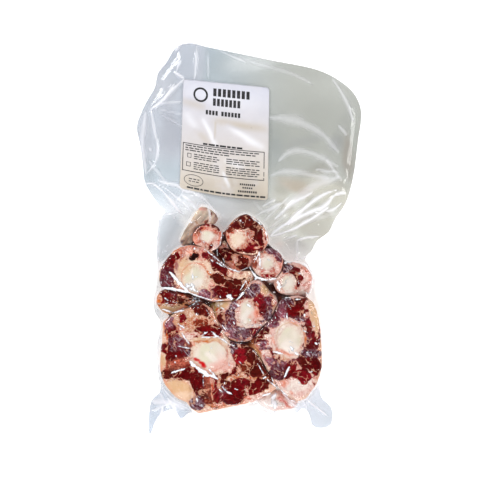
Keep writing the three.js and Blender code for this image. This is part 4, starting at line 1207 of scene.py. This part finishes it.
def trimmed_grid(columns, rows, outline, slack):
    """A grid of faces whose points are moved to columns and rows, trimmed to the outline."""
    made = bmesh.new()
    y_count, x_count = columns.shape
    bmesh.ops.create_grid(made, x_segments=x_count - 1, y_segments=y_count - 1, size=1)
    spots = np.column_stack([columns.ravel(), rows.ravel()])
    order = sorted(made.verts, key=lambda vert: (round(vert.co.y, 6), round(vert.co.x, 6)))
    for vert, (x, y) in zip(order, spots):
        vert.co = (x * MM, y * MM, 0)
    gaps, _ = outline_gap(spots, outline)
    outside = [vert for vert, gap in zip(order, gaps) if gap > slack]
    bmesh.ops.delete(made, geom=outside, context="VERTS")
    loose = [vert for vert in made.verts if not vert.link_faces]
    bmesh.ops.delete(made, geom=loose, context="VERTS")
    edge = [vert for vert in made.verts if vert.is_boundary]
    _, nearest = outline_gap(np.array([vert.co[:2] for vert in edge]) / MM, outline)
    for vert, (x, y) in zip(edge, nearest):
        vert.co = (x * MM, y * MM, 0)
    return mesh_of(made, "film")


HAZE = 0.36  # the share of the light that the loose film stops
# Painted highlight: the white laid into the film's colour where its folds and wrinkles shine.
PAINTED_FILM_HIGHLIGHT = "#fbfaff"  # the white that folds and wrinkles of the film shine
STAIN_SPOT = (279, 245)  # the pixel where fat stains the film, right of slice_5


def painted_bend_glints(film):
    """Where painted glints go, in patches: where the film turns sharply over an edge or into a crevice."""
    bend = np.abs(sum(neighbours(film)) - 4 * film)
    lit = smoothstep(-0.1, 0.5, noise(GRID, 13, 42)).reshape(film.shape)
    return 0.8 * lit * smoothstep(0.35, 1.2, bend)


def film_look(mesh, haze, shine, painted_glint):
    """Stores how much light the film stops at each point, in which tone it shows, and where painted
    glints go. The tone is a painted reflection: the empty end is painted as if it mirrored a bluish window
    on one side and a dim room on the other, and the folds' shine is painted white over it."""
    points = coordinates(mesh)
    x, y = points[:, 0], points[:, 1]
    # Painted reflections: the tone is bluish towards the window side, olive grey towards the dim room, and
    # paler at the neck, with the listed tints over it.
    side = smoothstep(-60, 50, x)
    tone = laid_over(np.array(linear("#8097a6")), "#7f8375", side)
    pale = laid_over(np.array(linear("#cbd2dc")), "#d3d2c2", side)
    tone = laid_over(tone, pale, smoothstep(66, 34, y) * smoothstep(-30, 0, y) * 0.6)
    swayed = points[:, :2] + shifts(points, 14, 40, 3)
    for painted_tint, *area, most in PAINTED_REFLECTIONS:
        soft = 0.5 * min(area[2:4]) * FLOOR_SCALE
        tone = laid_over(tone, painted_tint, most * smoothstep(soft, -soft, patch_distance(swayed, (painted_tint, *area))))
    # Painted reflections too: a lavender strip down the left edge, and a bluish cast at the foot.
    strip = smoothstep(-44, -52, x - 0.05 * y) * smoothstep(60, 80, y) * 0.35
    tone = laid_over(tone, "#c3bccb", strip)
    tone = laid_over(tone, "#b2bfd0", smoothstep(-60, -90, y))
    to_stain = np.hypot(*(points[:, :2] - on_floor(*STAIN_SPOT)).T)
    tone = laid_over(tone, "#dd9c78", smoothstep(6, 0, to_stain) * 0.6)
    stopped = HAZE * sample(haze, x, y)
    # The folds' shine is a painted highlight, laid into the film's opacity and colour as white.
    white = 0.98 * shine
    total = 1 - (1 - stopped) * (1 - white)
    keep_values(mesh, "stopped", total)
    white_share = np.clip(white / np.maximum(total, 1e-6), 0, 1)
    keep_values(mesh, "painted_film_tone", laid_over(tone, PAINTED_FILM_HIGHLIGHT, white_share))
    keep_values(mesh, "painted_glint", painted_glint)


def film_grid(film, outline):
    """Rows and columns across the pouch that crowd where the film falls steeply."""
    x_count, y_count = FILM_COUNTS
    slope_y, slope_x = np.gradient(film, CELL)
    inside_y = [outline[:, 1].min() - 0.5, outline[:, 1].max() + 0.5]
    meat = smoothstep(40, 0, YS)
    steep_y = np.hypot(1, np.minimum(np.abs(slope_y), 6)).mean(axis=1) * (1 + 0.9 * meat)
    keep_y = (YS >= inside_y[0]) & (YS <= inside_y[1])
    rows = even_steps(steep_y[keep_y], YS[keep_y], y_count)
    # Each row spans the pouch where it lies, and a little more.
    ends = []
    for y in YS:
        near = outline[np.abs(outline[:, 1] - np.clip(y, *inside_y)) < 9]
        ends.append((near[:, 0].min() - 2, near[:, 0].max() + 2))
    ends = evened_rows(np.array(ends), 40)
    steep_x = evened_rows(np.hypot(1, np.minimum(np.abs(slope_x), 6)), 12)
    columns = np.empty((y_count, x_count))
    for index, y in enumerate(rows):
        span = np.linspace(np.interp(y, YS, ends[:, 0]), np.interp(y, YS, ends[:, 1]), 400)
        columns[index] = even_steps(sample(steep_x, span, np.full(400, y)), span, x_count)
    return columns, np.tile(rows[:, None], x_count)


def front_film(film, haze, outline, material):
    """The film over the meat and the empty end."""
    mesh = trimmed_grid(*film_grid(film, outline), outline, 0.35)
    points = coordinates(mesh)
    x, y = points[:, 0], points[:, 1]
    gaps, _ = outline_gap(points[:, :2], outline)
    points[:, 2] = np.where(gaps > -0.01, FILM_GAP, sample(film, x, y))
    place(mesh, points)
    _, shine, painted_glint = fold_fields(points[:, :2])
    bend_glints = sample(painted_bend_glints(film), x, y)
    steep = sample(np.hypot(*np.gradient(film, CELL)), x, y)
    # Painted glints: those of the tight folds and of the film's bends, faded where the film falls steeply.
    film_look(mesh, haze, shine, (1 - (1 - painted_glint) * (1 - bend_glints)) * (1 - 0.65 * smoothstep(1.5, 4, steep)))
    piece = new_piece("front_film", mesh, material)
    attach(piece, "root")
    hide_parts("pouch")


def back_film(haze, outline, material):
    """The film that the meat lies on, flat on the table."""
    across, along = [np.linspace(-half, half, count) for half, count in BACK_SPANS]
    columns, rows = np.meshgrid(across, along)
    mesh = trimmed_grid(columns, rows, outline, 0.9)
    points = coordinates(mesh)
    points[:, 2] = BACK_HEIGHT
    place(mesh, points)
    film_look(mesh, haze, np.zeros(len(points)), np.zeros(len(points)))
    piece = new_piece("back_film", mesh, material)
    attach(piece, "root")
    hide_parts("pouch")


# The juice: how high a piece is that stands beside it, how far it lies under the film and under
# the lowest piece near it, and the grid it is made on, all in millimetres
TALL = 24
JUICE_DROP = 3.6
JUICE_CELL = 1.2
JUICE_HALVES = (95, 100)
JUICE_MIDDLE = -60

# Where the juice between the pieces is paler or darker. The darkest patches are painted shade: black lines
# along the narrowest crevices where slices meet, and a dark gap right of slice_4.
JUICES = [
    ("khaki", 220, 306, 10, 5, 20), ("olive", 250, 284, 6, 6, -40), ("russet", 214, 312, 4, 8, -40),
    ("olive", 238, 291, 3, 8, 40), ("sand", 229, 299, 5, 3, 0), ("mauve", 222, 300, 5, 2, 0),
    ("pit", 272, 300, 8, 5, -40), ("russet", 255, 344, 5, 5, 0), ("blush", 274, 280, 5, 3, 0),
    ("rose", 302, 292, 8, 3, 0), ("peach", 186, 310, 8, 2, 0), ("clay", 232, 270, 8, 2, -20),
    ("rose", 252, 261, 3, 6, 0), ("amber", 253, 347, 6, 3, -50), ("peach", 259, 353, 8, 2.4, -57),
    ("pit", 262, 365, 20, 1.2, -58), ("pit", 243, 343, 9, 2, -10), ("pit", 222, 330, 14, 2, -62),
]


def purge(film, roof, material):
    """The dark juice in the crevices between the tall pieces, below the lowest piece beside each."""
    closed = grown(grown((roof > TALL).astype(float), 6), 9, np.minimum)
    lowest = grown(np.where(roof > 1, grown(roof, 3), FAR), 6, np.minimum)
    top = (np.minimum(film, lowest) - JUICE_DROP) * smoothstep(0.4, 0.8, evened(closed, 12))
    made = bmesh.new()
    half_wide, half_long = JUICE_HALVES
    wide = int(2 * half_wide / JUICE_CELL)
    deep = int(2 * half_long / JUICE_CELL)
    bmesh.ops.create_grid(made, x_segments=wide, y_segments=deep, size=1)
    for vert in made.verts:
        x = vert.co.x * half_wide
        y = vert.co.y * half_long + JUICE_MIDDLE
        height = sample(top, np.array([x]), np.array([y]))[0]
        vert.co = (x * MM, y * MM, max(height, 0.4) * MM)
    spots = np.array([vert.co[:2] for vert in made.verts]) / MM
    inside = sample(closed, spots[:, 0], spots[:, 1]) > 0.5
    outside = [vert for vert, keep in zip(made.verts, inside) if not keep]
    bmesh.ops.delete(made, geom=outside, context="VERTS")
    loose = [vert for vert in made.verts if not vert.link_faces]
    bmesh.ops.delete(made, geom=loose, context="VERTS")
    mesh = mesh_of(made, "purge")
    points = coordinates(mesh)
    mix = smoothstep(-0.2, 0.6, noise(points, 9, 34))
    tone = laid_over(np.array(linear("#2c0805")), "#6a2817", mix)
    swayed = points[:, :2] + shifts(points, 5, 1, 1.5)
    for patch in JUICES:
        share = smoothstep(1.5, -1.5, patch_distance(swayed, patch)) * 0.85
        tone = laid_over(tone, TONES[patch[0]], share)
    keep_values(mesh, "tone", tone)
    piece = new_piece("purge", mesh, material)
    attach(piece, "root")


# The paper label's corners in pixels of the photograph: top left, top right, bottom right, bottom left
LABEL_CORNERS = [(183.6, 79.4), (269.3, 87.8), (267.8, 200.3), (179.7, 188.0)]
LABEL_STAND_OFF = 0.3  # how far the label stands off the film, in millimetres
LABEL_STIFFNESS = 1.2  # the label bridges hollows of the film this near, in millimetres
PAPER_THICKNESS = 0.12  # in millimetres
CORNER_RADIUS = 0.03  # share of the label's width
LINE_SHARE = 0.78  # a line takes a smaller share of the label's height than of its width
BAR_STEP = 0.02  # the length of a printed bar's faces, as a share of the label's width
# Printed rings as centre, radii and line width, in shares of the label
PRINT_RINGS = [(0.205, 0.125, 0.085, 0.066, 0.022), (0.155, 0.905, 0.11, 0.052, 0.006)]


def on_label(across, down):
    """Shares of the label's width and height as millimetres on the pack."""
    top_left, top_right, bottom_right, bottom_left = [on_floor(*corner) for corner in LABEL_CORNERS]
    across = np.asarray(across, dtype=float)[..., None]
    down = np.asarray(down, dtype=float)[..., None]
    sag = 0.02 * np.sin(math.pi * across) * down  # the foot of the label bows towards the meat
    top = top_left * (1 - across) + top_right * across
    bottom = bottom_left * (1 - across) + bottom_right * across
    return top * (1 - down - sag) + bottom * (down + sag)


# Creases of the label: from and to, in pixels of the photograph, half the width in pixels, the
# height in millimetres, and how much painted highlight or, below zero, how much painted shade the paper
# gets there
CREASES = [
    (203, 118, 216, 146, 2.2, 0.5, 0.9), (215.5, 122, 214.5, 140, 0.9, 0.3, -0.9),
    (226, 124, 264, 148, 3.5, 0.5, 0.8), (214, 121, 268, 129, 4, -0.3, -1.0),
    (181, 100, 206, 108, 4.5, -0.3, -0.7), (186, 112, 200, 134, 4, 0.3, 0.5),
    (194, 128, 210, 144, 3.5, -0.2, -0.6), (222, 172, 229, 188, 1.6, 0.3, 0.9),
    (229, 172, 232, 188, 1.8, -0.2, -0.7), (186, 92, 262, 104, 9, 0.2, 0.35),
    (224, 160, 244, 168, 3, 0.2, 0.5), (184, 178, 214, 190, 6, -0.2, -0.4),
]


def crease_fields(spots):
    """How high the label's creases stand, and how much painted highlight or painted shade they get."""
    height = np.zeros(len(spots))
    light = np.zeros(len(spots))
    sway = noise(spots, 12, 40) * 1.2
    for x0, y0, x1, y1, wide, high, painted_tint in CREASES:
        run, left, length = along_line(spots, on_floor(x0, y0), on_floor(x1, y1))
        along = np.clip(run / length, 0, 1)
        offset = np.hypot(left + sway, run - along * length) / (wide * FLOOR_SCALE)
        bump = np.exp(-(offset**2)) * (0.25 + 0.75 * (4 * along * (1 - along)) ** 0.5)
        height += high * bump
        light += painted_tint * bump
    return height, np.clip(light, -1, 1)


def label_height(film, spots):
    """How high the label lies: over the highest film near each spot, with its own creases."""
    steps = (-LABEL_STIFFNESS, 0, LABEL_STIFFNESS)
    around = [sample(film, spots[:, 0] + dx, spots[:, 1] + dy) for dx in steps for dy in steps]
    return np.max(around, axis=0) + LABEL_STAND_OFF + crease_fields(spots)[0]


def label_rim():
    """The label's rounded outline, in millimetres on the pack."""
    turns = np.linspace(0, math.pi / 2, 6)
    corners = [(1, 1, 0), (0, 1, math.pi / 2), (0, 0, math.pi), (1, 0, 1.5 * math.pi)]
    rim = []
    for right, bottom, start in corners:
        for turn in turns + start:
            across = CORNER_RADIUS + right * (1 - 2 * CORNER_RADIUS) + CORNER_RADIUS * math.cos(turn)
            down = CORNER_RADIUS + bottom * (1 - 2 * CORNER_RADIUS) + CORNER_RADIUS * math.sin(turn)
            rim.append((across, down))
    steps = 24
    shares = []
    for start, end in zip(rim, rim[1:] + rim[:1]):
        shares += [np.array(start) + (np.array(end) - start) * k / steps for k in range(steps)]
    return on_label(*np.array(shares).T)


def paper_label(film, material):
    """The stuck-on paper label, which follows the film's waves and bends up at the neck."""
    outline = label_rim()
    low = outline.min(axis=0) - 1
    high = outline.max(axis=0) + 1
    columns, rows = np.meshgrid(np.linspace(low[0], high[0], 90), np.linspace(low[1], high[1], 120))
    mesh = trimmed_grid(columns, rows, outline, 0.4)
    points = coordinates(mesh)
    points[:, 2] = label_height(film, points[:, :2])
    place(mesh, points)
    keep_values(mesh, "painted_crease_light", crease_fields(points[:, :2])[1])
    piece = new_piece("label_paper", mesh, material)
    thick = piece.modifiers.new("paper", "SOLIDIFY")
    thick.thickness = PAPER_THICKNESS * MM
    thick.offset = -1
    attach(piece, "root")
    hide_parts("label")


def printed_words(across, end, down, height, seed, longest=0.075):
    """Bars of uneven length that stand for a line of small print."""
    draw = np.random.default_rng(seed)
    bars = []
    while across < end - 0.02:
        length = min(draw.uniform(0.025, longest), end - across)
        bars.append((across, down, across + length, down + height))
        across += length + 0.012
    return bars


def frame_bars(left, top, right, bottom, line):
    """The four sides of a printed box."""
    tall = line * LINE_SHARE
    return [
        (left, top, right, top + tall),
        (left, bottom - tall, right, bottom),
        (left, top, left + line, bottom),
        (right - line, top, right, bottom),
    ]


def blocks(left, top, right, bottom, count):
    """A printed word as a row of plain upright blocks."""
    pitch = (right - left) / count
    return [(left + k * pitch, top, left + (k + 0.68) * pitch, bottom) for k in range(count)]


def print_layout():
    """Every printed bar as left, top, right and bottom shares of the label."""
    bars = blocks(0.35, 0.055, 0.79, 0.125, 8) + blocks(0.35, 0.145, 0.68, 0.21, 7)
    bars += blocks(0.27, 0.255, 0.42, 0.295, 4) + blocks(0.45, 0.255, 0.68, 0.295, 6)
    bars += printed_words(0.25, 0.70, 0.553, 0.016, 1)
    bars += frame_bars(0.02, 0.575, 0.955, 0.83, 0.008)
    bars += frame_bars(0.075, 0.665, 0.12, 0.705, 0.006) + frame_bars(0.065, 0.745, 0.115, 0.785, 0.006)
    for row, (down, end) in enumerate([(0.592, 0.9), (0.613, 0.86), (0.634, 0.55)]):
        bars += printed_words(0.05, end, down, 0.009, 10 + row)
    for row, down in enumerate([0.664, 0.683, 0.702, 0.738, 0.757, 0.776, 0.795]):
        bars += printed_words(0.15, 0.44, down, 0.008, 20 + row)
        bars += printed_words(0.52, 0.90, down, 0.008, 40 + row)
    bars += blocks(0.68, 0.868, 0.86, 0.884, 8) + blocks(0.71, 0.898, 0.83, 0.912, 5)
    bars += blocks(0.66, 0.93, 0.88, 0.948, 9)
    for row, down in enumerate([0.890, 0.912]):
        bars += printed_words(0.10, 0.22, down, 0.008, 64 + row, 0.04)
    bars += printed_words(0.08, 0.97, 0.968, 0.015, 66)
    return bars


def print_bar(made, left, top, right, bottom):
    """Adds a printed bar, flat on the pack."""
    many = max(2, int((right - left) / BAR_STEP))
    for vert in bmesh.ops.create_grid(made, x_segments=many, y_segments=4, size=0.5)["verts"]:
        across = left + (vert.co.x + 0.5) * (right - left)
        down = top + (0.5 - vert.co.y) * (bottom - top)
        vert.co = (*(on_label(across, down) * MM), 0)


def print_ring(made, across, down, wide, deep, line):
    """Adds a printed ring, flat on the pack."""
    outer = bmesh.ops.create_circle(made, segments=40, radius=1)["verts"]
    edges = list({edge for vert in outer for edge in vert.link_edges})
    added = bmesh.ops.extrude_edge_only(made, edges=edges)["geom"]
    inner = [item for item in added if isinstance(item, bmesh.types.BMVert)]
    circles = ((outer, wide, deep), (inner, wide - line, deep - line * LINE_SHARE))
    for verts, half_wide, half_deep in circles:
        for vert in verts:
            spot = on_label(across + half_wide * vert.co.x, down + half_deep * vert.co.y)
            vert.co = (*(spot * MM), 0)


def label_print(film, material):
    """Plain bars, boxes and rings in place of the label's print, a hair above the paper."""
    made = bmesh.new()
    for bar in print_layout():
        print_bar(made, *bar)
    for ring in PRINT_RINGS:
        print_ring(made, *ring)
    for face in made.faces:
        face.normal_update()
        if face.normal.z < 0:
            face.normal_flip()
    mesh = mesh_of(made, "print")
    points = coordinates(mesh)
    points[:, 2] = label_height(film, points[:, :2]) + PAPER_THICKNESS
    place(mesh, points)
    piece = new_piece("label_print", mesh, material)
    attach(piece, "root")


def meat_juice():
    """Meat juice and melted fat drawn out by the vacuum: wet, and mostly a dark brownish red."""
    material, tree, surface = new_material("meat_juice")
    tone = node(tree, "Attribute", attribute_name="tone").outputs["Color"]
    tree.links.new(tone, surface.inputs["Base Color"])
    surface.inputs["Roughness"].default_value = 0.3
    surface.inputs["Specular IOR Level"].default_value = 0.1
    return material


def label_paper():
    """Coated label paper, faintly mottled, with a painted warm shade towards the meat, and painted
    highlights and painted shade along its creases.
    """
    material, tree, surface = new_material("coated_paper")
    spot = node(tree, "TexCoord").outputs["Object"]
    lengthways = node(tree, "SeparateXYZ", {0: spot}).outputs["Y"]
    blotch = node(tree, "TexNoise", {"Vector": spot, "Scale": 1 / (18 * MM), "Detail": 3.0})
    painted_crease_light = node(tree, "Attribute", attribute_name="painted_crease_light").outputs["Fac"]
    shown = layered(
        tree, linear("#d3d3de"),
        (
            # Painted light and shade: a warm shade towards the meat, and along the creases a painted shade
            # and a painted highlight; the blotches are the paper's own mottling.
            (lengthways, 130 * MM, 40 * MM, 1.0, "#d5c9b8"),
            (blotch.outputs["Fac"], 0.5, 0.7, 0.5, "#dcd8dc"),
            (painted_crease_light, 0.0, -1.0, 0.9, "#c6bbad"),
            (painted_crease_light, 0.0, 1.0, 0.85, "#fafaff"),
        ),
    )
    tree.links.new(shown, surface.inputs["Base Color"])
    surface.inputs["Roughness"].default_value = 0.55
    return material


def black_ink():
    """Thermal print: flat black, a little worn."""
    material, tree, surface = new_material("thermal_print")
    spot = node(tree, "TexCoord").outputs["Object"]
    wear = node(tree, "TexNoise", {"Vector": spot, "Scale": 1 / (1.5 * MM), "Detail": 2.0})
    ink = layered(tree, linear("#1d1d20"), ((wear.outputs["Fac"], 0.55, 0.75, 0.5, "#77757a"),))
    tree.links.new(ink, surface.inputs["Base Color"])
    surface.inputs["Roughness"].default_value = 0.6
    return material


def vacuum_film():
    """Clear nylon and polythene film, blown and heat sealed. It is glossy, clear where it clings to
    the meat, and milky where it stands loose. The white of its folds and wrinkles is a painted highlight,
    and the loose film's tone a painted reflection."""
    material, tree, surface = new_material("vacuum_film")
    spot = node(tree, "TexCoord").outputs["Object"]
    stopped = node(tree, "Attribute", attribute_name="stopped").outputs["Fac"]
    tone = node(tree, "Attribute", attribute_name="painted_film_tone").outputs["Color"]
    painted_glint = node(tree, "Attribute", attribute_name="painted_glint").outputs["Fac"]
    # A fold's painted highlight is torn into fine wrinkles at its edge.
    wrinkles = node(
        tree, "TexNoise", {"Vector": spot, "Scale": 1 / (2 * MM), "Detail": 3.0, "Roughness": 0.65}
    )
    torn = node(tree, "Math", {0: wrinkles.outputs["Fac"], 1: 1.3, 2: painted_glint}, operation="MULTIPLY_ADD")
    white = node(
        tree, "MapRange", {"Value": torn.outputs[0], "From Min": 0.98, "From Max": 1.25, "To Max": 0.97}
    )
    # Where the painted highlight is white, the film stops the light.
    stops = node(tree, "Math", {0: stopped, 1: white.outputs[0]}, operation="MAXIMUM")
    mixing = {MIX_SHARE: white.outputs[0], MIX_UNDER: tone, MIX_OVER: linear(PAINTED_FILM_HIGHLIGHT)}
    shown = node(tree, "Mix", mixing, data_type="RGBA")
    tree.links.new(shown.outputs[MIX_RESULT], surface.inputs["Base Color"])
    surface.inputs["Roughness"].default_value = 0.35
    surface.inputs["Specular IOR Level"].default_value = 0.3
    ripple = node(tree, "TexNoise", {"Vector": spot, "Scale": 1 / (8 * MM), "Detail": 1.0})
    relief = node(tree, "Bump", {"Height": ripple.outputs["Fac"], "Distance": 0.6 * MM, "Strength": 0.5})
    tree.links.new(relief.outputs[0], surface.inputs["Normal"])
    clear = node(tree, "BsdfTransparent", {"Color": linear("#ffffff")})
    body = node(tree, "MixShader", {0: stops.outputs[0], 1: clear.outputs[0], 2: surface.outputs[0]})
    shine = node(tree, "BsdfGlossy", {"Roughness": 0.07, "Normal": relief.outputs[0]})
    # The film mirrors more of the room where it is seen at a slant.
    facing = node(tree, "LayerWeight", {"Blend": 0.5, "Normal": relief.outputs[0]})
    glancing = node(tree, "Math", {0: facing.outputs["Facing"], 1: 5.0}, operation="POWER")
    mirror = node(tree, "Math", {0: glancing.outputs[0], 1: 0.6, 2: 0.025}, operation="MULTIPLY_ADD")
    film = node(tree, "MixShader", {0: mirror.outputs[0], 1: body.outputs[0], 2: shine.outputs[0]})
    tree.links.new(film.outputs[0], tree.nodes["Material Output"].inputs["Surface"])
    return material


# Floor, lights and camera
FLOOR_HALF_WIDTH = 3.0  # in metres


def plain_floor():
    """A white sweep, lit a little from behind, which keeps the shadows faint."""
    material, _, surface = new_material("white_sweep")
    surface.inputs["Base Color"].default_value = linear("#ffffff")
    surface.inputs["Emission Color"].default_value = linear("#ffffff")
    surface.inputs["Emission Strength"].default_value = 0.35
    surface.inputs["Roughness"].default_value = 0.9
    surface.inputs["Specular IOR Level"].default_value = 0.0
    made = bmesh.new()
    bmesh.ops.create_grid(made, x_segments=1, y_segments=1, size=FLOOR_HALF_WIDTH)
    floor = new_piece("floor", mesh_of(made, "floor"), material)


def softbox(name, spot, size, power):
    """A square studio light that faces the pack. Its place and size are in metres, and its power in
    watts."""
    light = bpy.data.lights.new(name, "AREA")
    light.shape = "SQUARE"
    light.size = size
    light.energy = power
    holder = bpy.data.objects.new(name, light)
    bpy.context.collection.objects.link(holder)
    holder.location = spot
    aim = -np.array(spot)
    tilt = math.atan2(math.hypot(aim[0], aim[1]), -aim[2])
    holder.rotation_euler = (tilt, 0, math.atan2(aim[1], aim[0]) - math.pi / 2)


def studio():
    """The camera straight above the pack, three soft lights and a plain room."""
    camera = bpy.data.cameras.new("camera")
    camera.sensor_width = 36
    wide = VIEW_PIXELS * FLOOR_SCALE
    camera.lens = camera.sensor_width * CAMERA_HEIGHT / wide
    holder = bpy.data.objects.new("camera", camera)
    bpy.context.collection.objects.link(holder)
    holder.location = (CAMERA_SPOT[0] * MM, CAMERA_SPOT[1] * MM, CAMERA_HEIGHT * MM)
    bpy.context.scene.camera = holder
    softbox("window", (-1.0, 0.8, 1.1), 0.5, 15.5)
    softbox("fill", (1.2, 0.2, 1.3), 0.6, 12.5)
    softbox("foot", (0.0, -1.3, 1.3), 0.8, 19)
    # The room is pale around the pack and dark overhead, so that faces turned up mirror no veil.
    world = bpy.data.worlds.new("room")
    bpy.context.scene.world = world
    world.use_nodes = True
    tree = world.node_tree
    height = node(tree, "SeparateXYZ", {0: node(tree, "TexCoord").outputs["Generated"]}).outputs["Z"]
    dim = node(
        tree, "MapRange",
        {"Value": height, "From Min": 0.5, "From Max": 0.85, "To Min": 0.5, "To Max": 0.03},
    )
    background = tree.nodes["Background"]
    background.inputs["Color"].default_value = linear("#dfe4ea")
    tree.links.new(dim.outputs[0], background.inputs["Strength"])
    bpy.context.scene.view_settings.view_transform = "Standard"


# The pack
beef = cut_tissue("raw_beef", 0.42)
bone = cut_tissue("sawn_bone", 0.5)
cuts = {name: cut_of_tail(name, beef) for name in LEAN}
pieces = [*cuts.values(), *(sawn_vertebra(name, bone, cuts[name]) for name in BONED)]
outline = pouch_outline()
film_height, haze, roof = film_fields(pieces, outline)
clear_film = vacuum_film()
front_film(film_height, haze, outline, clear_film)
back_film(haze, outline, clear_film)
purge(film_height, roof, meat_juice())
paper_label(film_height, label_paper())
label_print(film_height, black_ink())
plain_floor()
studio()
